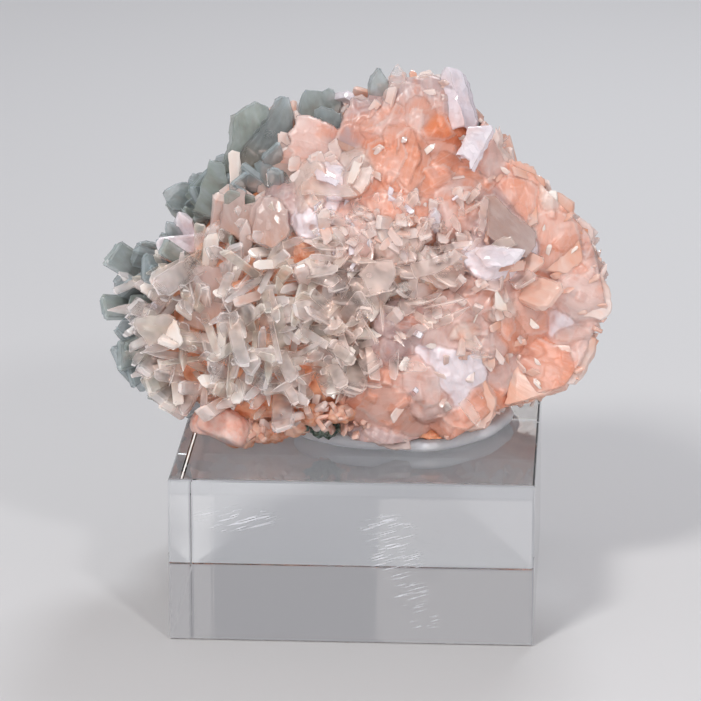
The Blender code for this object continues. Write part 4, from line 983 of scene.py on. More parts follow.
for spot in local.uniform(MASS_BOX[:2], MASS_BOX[2:], (TILES, 2)):
    turn, tone = local.uniform(0, math.pi), local.uniform()
    half_width, half_length = local.uniform(*TILE_HALF_WIDTHS), local.uniform(*TILE_HALF_LENGTHS)
    size = local.choice(TILE_SIZES, p=TILE_SHARES)
    if spot[0] < MIDDLE_RIGHT and MIDDLE_BELOW < spot[1] < MIDDLE_ABOVE:
        size = MIDDLE_TILE
    if spot[0] < NO_TILES_LEFT and spot[1] > NO_TILES_ABOVE:
        size = 0.0
    near = np.flatnonzero(np.abs(places - spot).max(axis=1) < half_length + 0.5)
    side = (places[near] - spot) @ (math.cos(turn), math.sin(turn))
    ahead = (places[near] - spot) @ (-math.sin(turn), math.cos(turn))
    out = np.maximum(np.abs(side) - half_width, np.abs(ahead) - half_length)
    lean = local.uniform(-TILE_LEAN, TILE_LEAN, 2)
    rise = local.uniform(*TILE_RISES) ** 1.5 + lean[0] * side + lean[1] * ahead
    rise = rise * size - TILE_WALL * np.maximum(out, 0)
    wins = rise > relief[near]
    chosen = near[wins]
    relief[chosen] = rise[wins]
    mass_values["tone"][chosen] += (tone - mass_values["tone"][chosen]) * 0.6
    # Tile edges add a little rim, which the finish paints as a highlight.
    edge = np.clip(1 - np.abs(out[wins] + 0.1) / 0.25, 0, 1)
    mass_values["rim"][chosen] = np.maximum(mass_values["rim"][chosen] * 0.7, edge * 0.3 * size)
mass_depth += WALL_DEEP * np.sin(wall_turn) - relief
sunk = offset * np.minimum(1, (core_radius - HIDDEN) / (radius + 1e-6))[:, None] + HEART
places[~covered] = sunk[~covered]
mass_depth[~covered] = face_depth(*sunk[~covered].T) + HIDDEN


def blurred(values, times):
    """Each grid value replaced by the mean of itself and its four neighbours, several times."""
    grid = values.reshape(*grid_u.shape, -1)
    for _ in range(times):
        wide = np.pad(grid, ((1, 1), (1, 1), (0, 0)), mode="edge")
        grid = (grid + wide[2:, 1:-1] + wide[:-2, 1:-1] + wide[1:-1, 2:] + wide[1:-1, :-2]) / 5
    return grid.reshape(values.shape)


mass_depth = np.where(covered, blurred(mass_depth, DEPTH_BLUR), mass_depth)
mass_values["tint"] = blurred(mass_values["tint"], TINT_BLUR)
mass_values["sheen"] = blurred(mass_values["sheen"], SHEEN_BLUR)
mass_points = sight(places[:, 0], places[:, 1], mass_depth)
mass_points[:, 2] = np.maximum(mass_points[:, 2], CORE_FLOOR)
mass_grid = mass_points.reshape(*grid_u.shape, 3)
mass_normals = unit(np.cross(np.gradient(mass_grid, axis=1), np.gradient(mass_grid, axis=0))).reshape(-1, 3)
print("mass points:", len(mass_points))

# %% Close the mass behind
number = np.arange(len(mass_points)).reshape(grid_u.shape)
front_faces = np.stack(
    (number[:-1, :-1], number[:-1, 1:], number[1:, 1:], number[1:, :-1]), axis=-1,
).reshape(-1, 4)
loop = np.concatenate((number[0, :-1], number[:-1, -1], number[-1, :0:-1], number[:0:-1, 0]))
pole = sight(*MASS_POLE)
share = (np.arange(1, MASS_CAP + 1) / (MASS_CAP + 1))[:, None, None]
cap_points = (mass_points[loop] * (1 - share) + pole * share).reshape(-1, 3)
cap_points[:, 2] = np.maximum(cap_points[:, 2], CORE_FLOOR)
count = len(loop)
rings = np.vstack((loop, len(mass_points) + np.arange(MASS_CAP * count).reshape(MASS_CAP, count)))
after = np.roll(rings, -1, axis=1)
cap_faces = np.stack((rings[:-1], rings[1:], after[1:], after[:-1]), axis=-1).reshape(-1, 4)
tip_index = len(mass_points) + len(cap_points)
tip_faces = np.stack((rings[-1], np.full(count, tip_index), after[-1]), axis=-1)
mass_corners = np.vstack((mass_points, cap_points, pole[None]))
for key, data in mass_values.items():
    extra = np.repeat(data[:1] * 0, len(cap_points) + 1, axis=0)
    mass_values[key] = np.concatenate((data, extra))
print("mass faces:", len(front_faces) + len(cap_faces) + len(tip_faces))

# %% [markdown]
# ## Bundles of leaves
#
# A crystal with more than one leaf is a stack of pages, as in a book: each page has the whole width
# and a share of the thickness, and is a little shorter, narrower and turned in its own plane. From the
# front one sees a broad face with stepped edges, and from the side the pages' edges. A seeded
# generator makes the small differences, so every run gives the same cluster.

# %% Split the rows into leaves
ROOT_SINK = 1.5
ROOT_WIDTH_SINK = 0.3
PAGE_TURN = 0.07
PAGE_LOSS = (0.02, 0.16)
PAGE_WIDTH = (0.78, 1.0)
PAGE_TWIST = 0.05
ROOT_GATHER = 0.7
TIP_SPREAD = 1.15
OVERLAP = 1.25
TIP_SLANT = 0.55
chance = np.random.default_rng(20)


def leaves_of(rows):
    """Columns of root, tip, width, thickness, turn, ending, skew and finish, one row a leaf."""
    columns = {key: [] for key in ("root", "tip", "width", "thick", "turn", "ending", "skew", "finish")}
    for u0, v0, u1, v1, width, thick, lean, turn, back, ending, kind, leaves in rows:
        depth = float(face_depth(u0, v0)) + back
        root = sight(u0, v0, depth + ROOT_SINK + ROOT_WIDTH_SINK * width)
        tip = sight(u1, v1, depth - STAND_OUT - lean)
        length = np.linalg.norm(tip - root)
        axis = unit(tip - root)
        broad = unit(np.cross(axis, AWAY))
        edge = np.cross(axis, broad)
        angle = math.radians(turn)
        broad, edge = turned(broad, edge, math.cos(angle), math.sin(angle))
        main = leaves // 2
        for number in range(leaves):
            page = number != main
            aside = chance.normal(0, PAGE_TURN) * length * page
            loss = chance.uniform(*PAGE_LOSS) * length * page
            shift = (number - (leaves - 1) / 2) * thick / leaves
            columns["root"].append(root + edge * shift * ROOT_GATHER)
            columns["tip"].append(tip + edge * shift * TIP_SPREAD + broad * aside - axis * loss)
            columns["width"].append(width * (chance.uniform(*PAGE_WIDTH) if page else 1.0))
            columns["thick"].append(thick / leaves * OVERLAP)
            columns["turn"].append(angle + chance.normal(0, PAGE_TWIST) * page)
            columns["ending"].append(ENDING_NAMES.index(ending))
            columns["skew"].append(chance.uniform(-TIP_SLANT, TIP_SLANT))
            columns["finish"].append(FINISHES.index(kind))
    return {key: np.array(values) for key, values in columns.items()}


read_blades = leaves_of(READ_ROWS)
print(len(read_blades["root"]), "leaves")

# %% [markdown]
# ## Small blades between them
#
# Between the crystals that were read, smaller ones fill every gap. They are strewn with an even spacing that
# no grid shows: the fractions of two irrational numbers. Each one stands on the core, tilts away from the
# surface's own direction, and is drawn back where it would pass the silhouette; one whose tip would still
# leave the solid model's box is left out.

# %% Strewing
GOLDEN = (0.7548776662466927, 0.5698402909980532)
BOX_MARGIN = 0.4
RIM_GAP = 0.3
HEM_PULL = 1.2
ROOT_DEEP = 2.2
ROOT_SHARE = 0.3
ROOT_BACK = 0.8
SHORTEST = 1.2
FLOOR_GAP = 0.5
STREWN_SLANT = 0.7
# The lower hem of the clear blades: u and v. Below it the crust of the foot shows.
HEM = np.array((
    (-40, -16), (-34, -12.8), (-20, -12), (-14, -12.5), (-8, -11), (0, -9.5), (6, -6), (9, -24), (60, -24),
))


def even(count, start=0.5):
    """Count places in a unit square: the fractions of whole multiples of two irrational numbers."""
    number = np.arange(count)[:, None]
    return (start + number * np.array(GOLDEN)) % 1.0


def strewn(place, normal, length, width, thick, tilt, ending, finish, seed, facing=None):
    """Blades that stand on a surface at the given places. Tilt is the angle off the surface's normal,
    and facing is how far in radians their broad sides stray from the viewer, or None for any way."""
    local = np.random.default_rng(seed)
    count = len(place)
    stray = unit(np.cross(normal, unit(local.normal(size=(count, 3)))))
    axis = normal * np.cos(tilt)[:, None] + stray * np.sin(tilt)[:, None]
    tip = place + axis * length[:, None]
    u, v, _ = seen(tip)
    angle, distance = from_heart(u, v)
    reach, _, _ = around(angle)
    outside = distance - (reach - RIM_GAP * width)
    length = length - np.maximum(outside, 0)
    if facing is not None:
        length = length - HEM_PULL * np.maximum(np.interp(u, *HEM.T) - v, 0)
    tip = place + axis * length[:, None]
    root = place - normal * np.minimum(ROOT_DEEP, ROOT_SHARE * length)[:, None] - axis * ROOT_BACK
    inside = np.all((tip > low + BOX_MARGIN + width[:, None] / 2)
                    & (tip < high - BOX_MARGIN - width[:, None] / 2), axis=1)
    above = (tip[:, 2] > CORE_FLOOR) & (place[:, 2] > CORE_FLOOR + FLOOR_GAP)
    kept = inside & (length > SHORTEST * width) & above
    turn = local.uniform(0, math.pi, count) if facing is None else local.normal(0, facing, count)
    skew = local.uniform(-STREWN_SLANT, STREWN_SLANT, count)
    columns = {
        "root": root, "tip": tip, "width": width, "thick": thick, "turn": turn, "ending": ending,
        "skew": skew, "finish": finish,
    }
    return {key: values[kept] for key, values in columns.items()}


def pick(generator, names, count):
    """Random endings out of the named ones."""
    numbers = np.array([ENDING_NAMES.index(name) for name in names])
    return numbers[generator.integers(0, len(names), count)]


def swing_at(u, v):
    """The angle and swing of the core's front under a place of the picture, and how far out it is."""
    angle, distance = from_heart(u, v)
    _, radius, boxy = around(angle)
    share = distance / radius
    return angle, np.arcsin(np.clip(share, 0, 0.98) ** (boxy / 2)), share


print("a first place:", even(1)[0])

# %% [markdown]
# ## Where each kind grows
#
# On the front, small cream blades cover the left and the middle, pinkish plates the upper middle, and
# salmon sheaves the right. A few hollows between them show the deep orange crust. The sides and the
# back aren't in the photograph, so they go on in the same way: grey-green to the left, salmon to the
# right and paler towards the top.

# %% Fill the front
HOLLOWS = np.array((
    (-24.5, 17, 2.6, 5.5), (-13.5, 5.5, 3.6, 3.2), (-13, 12.5, 2.4, 3.0), (-9.5, 15.2, 1.6, 1.4),
    (-4, 6.6, 2.2, 1.6), (11, -3, 6.0, 5.0), (1, -10.5, 4.0, 2.2), (8.8, 11.6, 1.8, 2.2),
    (14.8, 8.5, 1.8, 3.4), (23, 11, 3.0, 3.0), (-2.6, 26, 2.6, 4.4), (4.6, 33, 2.4, 1.8),
))


def in_hollow(u, v):
    """True inside any of the ellipses: centre u and v, half width, half height."""
    offset_u = (u[:, None] - HOLLOWS[:, 0]) / HOLLOWS[:, 2]
    offset_v = (v[:, None] - HOLLOWS[:, 1]) / HOLLOWS[:, 3]
    return np.any(offset_u ** 2 + offset_v ** 2 < 1, axis=1)


FACING = 0.55
OUTERMOST = 0.99
WALL_BLADES = 330
ALL_ENDINGS = ("round", "blunt", "chisel", "point")


def above_foot(u, v):
    """True above the foot's top, which steps up from the left to the middle and down again."""
    return v > np.where(u < -18, -7.5, np.where(u < 0, -9.5, -6.5))


def front_fill(count, box, lengths, widths, tilts, endings, finish, seed, where):
    """Blades strewn over a box of the picture (u0, v0, u1, v1) wherever the test where(u, v) holds."""
    local = np.random.default_rng(seed)
    spot = even(count, seed * 0.137)
    u = box[0] + spot[:, 0] * (box[2] - box[0])
    v = box[1] + spot[:, 1] * (box[3] - box[1])
    angle, swing, share = swing_at(u, v)
    kept = (share < OUTERMOST) & where(u, v) & ~in_hollow(u, v) & above_foot(u, v)
    angle, swing = angle[kept], swing[kept]
    number = len(angle)
    width = local.uniform(*widths, number)
    length = local.uniform(*lengths, number)
    return strewn(
        *core_normal(angle, swing), length, width, width * local.uniform(0.26, 0.5, number),
        local.uniform(*np.radians(tilts), number), pick(local, endings, number),
        np.full(number, FINISHES.index(finish)), seed, FACING,
    )


def sprinkled(count, box, lengths, widths, tilts, endings, finish, seed):
    """Small blades that lie on the mass, rooted in a box of the picture."""
    local = np.random.default_rng(seed)
    inside = np.all((places > box[:2]) & (places < box[2:]), axis=1) & covered & ~in_hollow(*places.T)
    spots = np.flatnonzero(inside)[local.integers(0, inside.sum(), count)]
    width = local.uniform(*widths, count)
    return strewn(
        mass_points[spots], mass_normals[spots], local.uniform(*lengths, count), width,
        width * local.uniform(0.3, 0.6, count), local.uniform(*np.radians(tilts), count),
        pick(local, endings, count), np.full(count, FINISHES.index(finish)), seed, FACING,
    )


def clear_part(u, v):
    """True on the left and in the middle, under a line that falls to both sides."""
    return (v < 25 - 0.2 * np.abs(u + 8)) & (u < 20 - 0.3 * (v + 5))


# Count, box, lengths, widths, tilts in degrees, endings, finish, seed and test of each fill.
FILLS = (
    (680, (-48, -17, 24, 27), (8.5, 16.5), (1.2, 2.7), (45, 84),
     ("chisel", "chisel", "point", "blunt"), "haze", 1, clear_part),
    (90, (-48, -12, 24, 27), (7.0, 11.0), (1.8, 3.4), (50, 82),
     ("chisel", "blunt"), "cream", 11, clear_part),
    (110, (-30, 18, 12, 42), (4, 8), (2.6, 4.8), (55, 84),
     ("round", "chisel", "blunt"), "rose", 2, lambda u, v: (v > 22 - 0.2 * u) & (u < 32)),
    (60, (12, -12, 54, 46), (4, 7), (3.0, 5.0), (60, 85),
     ("round", "blunt", "chisel"), "salmon", 3, lambda u, v: u > 27 - 0.25 * v),
    (90, (-4, -12, 32, 30), (5, 8), (2.4, 4.4), (50, 80),
     ("round", "chisel"), "rose", 4, lambda u, v: (u > 16 - 0.3 * v) & (u < 34)),
    (110, (-52, -10, -12, 54), (5, 9), (3.5, 6.0), (25, 65),
     ("blunt", "point", "chisel"), "slate", 5,
     lambda u, v: (v > 24 + 0.5 * (u + 24)) & (u < -14) & (u + v < 26)),
)
# The same for the small blades on the mass, without a test.
SPRINKLES = (
    (100, (-8, 16, 28, 32), (3.0, 7.0), (0.8, 1.9), (66, 88), ("chisel", "point", "blunt"), "haze", 21),
    (60, (-8, 16, 28, 34), (2.6, 6.0), (1.2, 3.0), (72, 88), ("chisel", "blunt"), "rose", 22),
    (24, (-8, 14, 28, 34), (1.6, 3.0), (0.8, 1.6), (66, 86), ("chisel", "blunt"), "pearl", 23),
    (30, (4, 34, 34, 60), (2.4, 5.5), (1.0, 2.4), (74, 88), ("chisel", "blunt"), "rose", 24),
    (60, (26, -12, 56, 40), (2.4, 5.0), (1.0, 2.4), (74, 88), ("chisel", "blunt"), "salmon", 25),
    (30, (14, -14, 56, 60), (1.6, 4.0), (0.6, 1.4), (70, 88), ("chisel", "point"), "cream", 26),
    (60, (4, -14, 40, 16), (2.0, 4.5), (1.0, 2.2), (60, 86), ("chisel", "blunt"), "rose", 27),
)
batches = [read_blades]
batches += [front_fill(*fill) for fill in FILLS]
batches += [sprinkled(*sprinkle) for sprinkle in SPRINKLES]
wall_spots = np.flatnonzero(passed > 0.5)
wall_chance = np.random.default_rng(28)
wall_spots = wall_spots[passed[wall_spots] < WALL_RUN]
wall_spots = wall_chance.choice(wall_spots, WALL_BLADES)
wall_width = wall_chance.uniform(1.6, 4.0, WALL_BLADES)
batches.append(strewn(
    mass_points[wall_spots], mass_normals[wall_spots], wall_chance.uniform(4, 8, WALL_BLADES),
    wall_width, wall_width * 0.4, wall_chance.uniform(*np.radians((30, 75)), WALL_BLADES),
    pick(wall_chance, ALL_ENDINGS, WALL_BLADES),
    wall_chance.choice((FINISHES.index("salmon"), FINISHES.index("rose")), WALL_BLADES), 28,
))
print("strewn on the front:", sum(len(batch["root"]) for batch in batches[1:]))

# %% Fill the sides and the back
SLATE_LEFT = -18
ROSE_LEFT = 4
ROSE_ABOVE = 92
WANDER = 6


def side_fill(count, swings, lengths, widths, seed):
    """Blades over the part of the core that faces away, their finish chosen by where they stand."""
    local = np.random.default_rng(seed)
    spot = even(count, seed * 0.291)
    angle = (spot[:, 0] * 2 - 1) * math.pi
    swing = np.arccos(np.cos(swings[0]) + spot[:, 1] * (np.cos(swings[1]) - np.cos(swings[0])))
    place = core_surface(angle, swing)
    wander = local.normal(0, WANDER, count)
    slate = place[:, 0] + wander < SLATE_LEFT
    rose = (place[:, 2] + wander > ROSE_ABOVE) | (place[:, 0] + wander < ROSE_LEFT)
    kinds = [FINISHES.index(kind) for kind in ("slate", "rose", "salmon")]
    finish = np.select([slate, rose], kinds[:2], kinds[2])
    width = local.uniform(*widths, count)
    length = local.uniform(*lengths, count)
    return strewn(
        *core_normal(angle, swing), length, width, width * local.uniform(0.3, 0.55, count),
        local.uniform(*np.radians((15, 62)), count), pick(local, ALL_ENDINGS, count), finish, seed,
    )


batches.append(side_fill(620, (1.3, 3.1), (5.5, 10.5), (3.0, 7.0), 7))
batches.append(side_fill(420, (1.25, 3.1), (3.5, 7.0), (1.8, 3.6), 8))
batches.append(side_fill(460, (1.7, 3.1), (3.5, 6.0), (1.6, 4.0), 9))
all_blades = {key: np.concatenate([batch[key] for batch in batches]) for key in batches[0]}
print("blades in all:", len(all_blades["root"]))

# %% [markdown]
# ## Shader maths as sums
#
# A node tree is easier to read as a formula. The small class below wraps an output socket, so that a
# sum of two wires adds a Math node and gives a new wire. Every other node comes from one method that
# takes the node's type, its settings and its inputs. Groups or hand-placed nodes would do the same,
# but the formula would be hidden in the links.

# %% The wire and sheet classes
class Wire:
    """An output socket that takes part in sums."""

    def __init__(self, sheet, socket):
        self.sheet = sheet
        self.socket = socket

    def maths(self, operation, *values):
        return self.sheet.node("ShaderNodeMath", {"operation": operation}, dict(enumerate(values)))

    def __add__(self, other):
        return self.maths("ADD", self, other)

    def __sub__(self, other):
        return self.maths("SUBTRACT", self, other)

    def __rsub__(self, other):
        return self.maths("SUBTRACT", other, self)

    def __mul__(self, other):
        return self.maths("MULTIPLY", self, other)

    def __truediv__(self, other):
        return self.maths("DIVIDE", self, other)

    def __pow__(self, other):
        return self.maths("POWER", self, other)

    def between(self, start, end):
        """0 below start, 1 above end, and a smooth step in between."""
        inputs = {"Value": self, "From Min": start, "From Max": end, "To Min": 0.0, "To Max": 1.0}
        return self.sheet.node("ShaderNodeMapRange", {"interpolation_type": "SMOOTHSTEP"}, inputs)

    __radd__ = __add__
    __rmul__ = __mul__


class Sheet:
    """One material and its nodes."""

    def __init__(self, name, **sockets):
        self.material = bpy.data.materials.new(name)
        self.material.use_nodes = True
        self.tree = self.material.node_tree
        self.shader = self.tree.nodes["Principled BSDF"]
        self.shader.subsurface_method = "BURLEY"
        self.end = self.tree.nodes["Material Output"]
        self.set(self.shader, {key.replace("_", " "): value for key, value in sockets.items()})

    def set(self, node, inputs):
        for key, value in inputs.items():
            if isinstance(value, Wire):
                self.tree.links.new(value.socket, node.inputs[key])
            else:
                node.inputs[key].default_value = value

    def node(self, kind, settings=None, inputs=None, output=0):
        made = self.tree.nodes.new(kind)
        for key, value in (settings or {}).items():
            setattr(made, key, value)
        self.set(made, inputs or {})
        return Wire(self, made.outputs[output])

    def attribute(self, name, output="Fac"):
        return self.node("ShaderNodeAttribute", {"attribute_name": name}, output=output)

    def place(self):
        return self.node("ShaderNodeTexCoord", output="Object")

    def noise(self, vector, scale, detail=3.0, roughness=0.55):
        inputs = {"Vector": vector, "Scale": scale, "Detail": detail, "Roughness": roughness}
        return self.node("ShaderNodeTexNoise", inputs=inputs)

    def facets(self, vector):
        """A height that is a small plane, tilted its own way, in each cell of a Voronoi pattern."""
        cells = self.node("ShaderNodeTexVoronoi", inputs={"Vector": vector, "Scale": 1.0}).socket.node
        colour, middle = (Wire(self, cells.outputs[name]) for name in ("Color", "Position"))
        lean = self.node("ShaderNodeVectorMath", {"operation": "SUBTRACT"}, {0: colour, 1: (0.5, 0.5, 0.5)})
        offset = self.node("ShaderNodeVectorMath", {"operation": "SUBTRACT"}, {0: vector, 1: middle})
        return self.node("ShaderNodeVectorMath", {"operation": "DOT_PRODUCT"}, {0: offset, 1: lean}, "Value")

    def stretch(self, vector, factors):
        return self.node("ShaderNodeVectorMath", {"operation": "MULTIPLY"}, {0: vector, 1: factors})

    def blend(self, factor, first, second):
        """Sockets 0, 6 and 7 of a colour Mix are its factor and its two colours; output 2 is the colour."""
        first, second = ((*c, 1.0) if isinstance(c, tuple) and len(c) == 3 else c for c in (first, second))
        inputs = {0: factor, 6: first, 7: second}
        return self.node("ShaderNodeMix", {"data_type": "RGBA"}, inputs, output=2)

    def bump(self, height, distance, strength=1.0, under=None):
        inputs = {"Height": height, "Distance": distance * MM, "Strength": strength}
        if under is not None:
            inputs["Normal"] = under
        return self.node("ShaderNodeBump", inputs=inputs)


print("sums that add nodes: + - * / **")

# %% [markdown]
# ## Finishes of the crystals
#
# All stilbite here is the same mineral, and what differs is how much iron colours it and how clear it is,
# except that the slate finish's dark grey-blue is partly painted shade and bluish light. Each blade is
# deeper in colour at its root and clearer at its tip, has fine grooves along its length, and scatters light
# inside, so every finish is a Principled shader with subsurface light. Edges are painted paler as a
# highlight. The clear blades let part of the light straight through.

# %% Crystal material
STILBITE_INDEX = 1.50


def crystal_finish(
    name, root, body, tip, patch, edge, scatter, through=0.08, clear=0.0, groove=0.05, flakes=0.0,
    painted_glow=None, **sockets,
):
    """Colour runs root to body to tip along each crystal, wanders from one to the next, and is painted paler
    on the edges as a highlight. From the left to the middle it turns to the glow colour, a painted glow of
    light bounced in from the salmon part. Scatter is the share of light that spreads inside, how far each of
    its colours goes, and that distance in mm. The faces let light through by the share given as clear, and
    the edges less. The bump is long narrow noise, which reads as grooves, and cells of mother of pearl."""
    weight, spread, distance = scatter
    common = {
        "IOR": STILBITE_INDEX, "Transmission_Weight": through, "Subsurface_Weight": weight,
        "Subsurface_Radius": spread, "Subsurface_Scale": distance * MM,
    }
    sheet = Sheet(f"stilbite {name}", **{**common, **sockets})
    own = sheet.attribute("own", "Vector")
    along = sheet.attribute("along")
    tone = sheet.attribute("tone")
    rim = sheet.attribute("rim").between(0.35, 1.0)
    cloud = sheet.noise(sheet.place(), 160.0, 2.0)
    streak = sheet.noise(sheet.stretch(own, (2.2, 2.2, 0.16)), 1.0, 3.0, 0.6)
    veil = sheet.noise(sheet.stretch(own, (0.5, 0.5, 0.2)), 1.0, 2.0)
    colour = sheet.blend(along.between(0.05, 0.5), root, body)
    colour = sheet.blend((along + (cloud - 0.5) * 0.6).between(0.45, 1.05), colour, tip)
    colour = sheet.blend(tone.between(0.5, 1.0) * 0.7, colour, patch)
    colour = sheet.blend(streak.between(0.5, 0.85) * 0.25, colour, tip)
    colour = sheet.blend(veil.between(0.45, 0.75) * 0.45, colour, edge)
    colour = sheet.blend(veil.between(0.5, 0.25) * 0.5, colour, root)
    # Painted highlight: the edge colour is blended in along the rim of each blade and plate.
    colour = sheet.blend(rim * 0.28, colour, edge)
    # Painted glow: from the left to the middle the colour turns to a pale pink, which stands in for light
    # bounced in from the salmon part.
    if painted_glow:
        side = sheet.node("ShaderNodeSeparateXYZ", inputs={"Vector": sheet.place()}, output="X")
        colour = sheet.blend(side.between(-0.018, 0.004) * 0.7, colour, painted_glow)
    normal = sheet.bump(streak, groove, 0.9)
    if flakes:
        normal = sheet.bump(sheet.facets(sheet.stretch(own, (1.1, 1.1, 0.7))), flakes, 1.0, normal)
    sheet.set(sheet.shader, {
        "Base Color": colour,
        "Roughness": 0.04 + cloud * 0.14,
        "Normal": normal,
    })
    if clear:
        sheet.set(sheet.shader, {"Alpha": 1.0 - (1.0 - rim * 0.45) * (0.3 + cloud * 1.4) * clear})
    return sheet.material


finish_of = {
    # The clear blades get the painted glow towards the middle.
    "haze": crystal_finish(
        "haze", (0.93, 0.64, 0.53), (0.92, 0.80, 0.75), (0.95, 0.90, 0.90), (0.85, 0.81, 0.66),
        (0.95, 0.91, 0.93), (0.7, (1.0, 0.85, 0.75), 0.7), clear=0.72, groove=0.03, painted_glow=(0.97, 0.80, 0.74),
    ),
    "cream": crystal_finish(
        "cream", (0.90, 0.68, 0.57), (0.93, 0.82, 0.75), (0.96, 0.90, 0.86), (0.90, 0.77, 0.71),
        (0.97, 0.94, 0.92), (0.7, (1.0, 0.85, 0.75), 0.7), groove=0.03,
    ),
    "rose": crystal_finish(
        "rose", (0.86, 0.50, 0.38), (0.86, 0.64, 0.57), (0.90, 0.76, 0.72), (0.82, 0.65, 0.61),
        (0.94, 0.84, 0.82), (0.5, (1.0, 0.65, 0.5), 0.5), flakes=0.2,
    ),
    "salmon": crystal_finish(
        "salmon", (0.86, 0.40, 0.26), (0.86, 0.49, 0.37), (0.86, 0.60, 0.52), (0.86, 0.54, 0.44),
        (0.92, 0.74, 0.68), (0.6, (1.0, 0.5, 0.35), 0.6),
    ),
    "ember": crystal_finish(
        "ember", (0.60, 0.15, 0.05), (0.72, 0.26, 0.12), (0.78, 0.38, 0.22), (0.56, 0.16, 0.07),
        (0.82, 0.48, 0.34), (0.9, (1.0, 0.45, 0.25), 1.5), through=0.1,
    ),
    "taupe": crystal_finish(
        "taupe", (0.72, 0.44, 0.35), (0.68, 0.48, 0.43), (0.76, 0.60, 0.57), (0.60, 0.46, 0.42),
        (0.84, 0.72, 0.70), (0.7, (1.0, 0.7, 0.6), 1.0), through=0.15, clear=0.2, flakes=0.2,
    ),
    # Slate: a dark grey-blue that is partly the blades' own grey-green and partly painted shade and the
    # bluish light on the left and the back.
    "slate": crystal_finish(
        "slate", (0.30, 0.27, 0.23), (0.24, 0.27, 0.27), (0.42, 0.50, 0.52), (0.44, 0.50, 0.43),
        (0.58, 0.65, 0.70), (0.5, (0.8, 0.9, 1.0), 0.4), clear=0.55, flakes=0.15,
    ),
    "pearl": crystal_finish(
        "pearl", (0.82, 0.64, 0.64), (0.84, 0.75, 0.81), (0.92, 0.87, 0.93), (0.76, 0.73, 0.84),
        (0.95, 0.91, 0.95), (0.4, (1.0, 0.8, 0.8), 1.0), through=0.0, flakes=0.5, IOR=1.55,
        Coat_Weight=1.0, Coat_Roughness=0.04,
    ),
}
print("finishes:", ", ".join(finish_of))

# %% Build the crystals, one piece for each finish
def blade_pieces(batch, suffix, seed):
    """One piece for each finish in a batch of blades."""
    for number, kind in enumerate(FINISHES):
        local = np.random.default_rng(seed + number)
        chosen = batch["finish"] == number
        count = int(chosen.sum())
        if not count:
            continue
        columns = {key: values[chosen] for key, values in batch.items() if key != "finish"}
        corners, own, rim, station = blades(**columns, bow=local.normal(0, 0.03, count), noise=local)
        shift = local.uniform(0, 90, (count, 1, 1, 3))
        values = {
            "own": (own + shift).reshape(-1, 3),
            "along": np.broadcast_to(station[..., None], corners.shape[:3]).ravel(),
            "tone": np.broadcast_to(local.uniform(0, 1, (count, 1, 1)), corners.shape[:3]).ravel(),
            "rim": rim.ravel(),
        }
        piece = mesh_piece(
            f"{kind}_{suffix}", corners.reshape(-1, 3), blade_faces(count, *corners.shape[1:3]), values,
        )
        dress(piece, "stilbite_cluster", finish_of[kind])


blade_pieces(all_blades, "blades", 100)
for number, kind in enumerate(FINISHES):
    rows = [row for row in loose_plates if row[0] == kind]
    if rows:
        corners, faces, values = pile_of_plates(rows, 200 + number)
        piece = mesh_piece(f"{kind}_plates", corners, faces, values, sharp=math.radians(20))
        dress(piece, "stilbite_cluster", finish_of[kind])

# %% [markdown]
# The mass has one finish with the same grooves and pale edges, which are a painted highlight. Its tint is an
# attribute, because every plate in it has its own, and a second attribute marks the plates with a pearly
# sheen, which get a clear coat, small tilted cells and patches of painted white sheen.

# %% Finish of the mass
def mass_finish():
    """Each plate's own tint, deeper and paler in clouds, with grooves, painted paler along edges and steps
    as a highlight, and pearly where the sheen is, with patches of painted white sheen.
    """
    sheet = Sheet(
        "stilbite mass", IOR=STILBITE_INDEX, Subsurface_Weight=0.85, Subsurface_Radius=(1.0, 0.58, 0.42),
        Subsurface_Scale=1.8 * MM, Coat_Roughness=0.08,
    )
    own = sheet.attribute("own", "Vector")
    tint = sheet.attribute("tint", "Color")
    tone = sheet.attribute("tone")
    sheen = sheet.attribute("sheen")
    rim = sheet.attribute("rim")
    place = sheet.place()
    cloud = sheet.noise(place, 160.0, 3.0)
    streak = sheet.noise(sheet.stretch(own, (1.6, 1.0, 0.14)), 1.0, 4.0, 0.6)
    pale = sheet.blend(0.5, tint, (0.90, 0.80, 0.78))
    deep = sheet.blend(0.45, tint, (0.74, 0.24, 0.11))
    colour = sheet.blend(cloud.between(0.5, 0.35), tint, deep)
    colour = sheet.blend(cloud.between(0.52, 0.75) * 0.7, colour, pale)
    colour = sheet.blend(tone.between(0.5, 1.0) * 0.4, colour, pale)
    colour = sheet.blend(streak.between(0.5, 0.75) * 0.45, colour, pale)
    # Painted highlight: paler colour along the rim of plates, facets, steps and tiles.
    colour = sheet.blend(rim * 0.45, colour, (0.90, 0.76, 0.72))
    # Painted sheen: pearly plates turn pale pink-white in patches, which stand in for the glints of their
    # lustre.
    painted_sheen = (sheen * (0.4 + cloud)).between(0.5, 0.8)
    colour = sheet.blend(painted_sheen * 0.9, colour, (0.97, 0.87, 0.92))
    flakes = sheet.facets(sheet.stretch(own, (0.9, 0.9, 0.55)))
    normal = sheet.bump(streak, 0.14, 0.8)
    normal = sheet.bump(flakes * (0.35 + sheen), 0.4, 1.0, normal)
    sheet.set(sheet.shader, {
        "Base Color": colour,
        "Roughness": 0.14 + cloud * 0.25,
        "Coat Weight": sheen,
        "Normal": normal,
    })
    return sheet.material


mass_piece = mesh_piece(
    "salmon_mass", mass_corners, [front_faces, cap_faces, tip_faces], mass_values, sharp=math.radians(40),
)
dress(mass_piece, "stilbite_cluster", mass_finish())

# %% [markdown]
# ## The crust
#
# Under the blades is the crust that shows in the hollows and along the foot. It is the core's surface
# on a fine grid, pushed out by a sum of sine waves in many directions, which is a cheap noise that
# numpy can work out for a whole array. The foot has coarser lumps, and a patch of it is green.

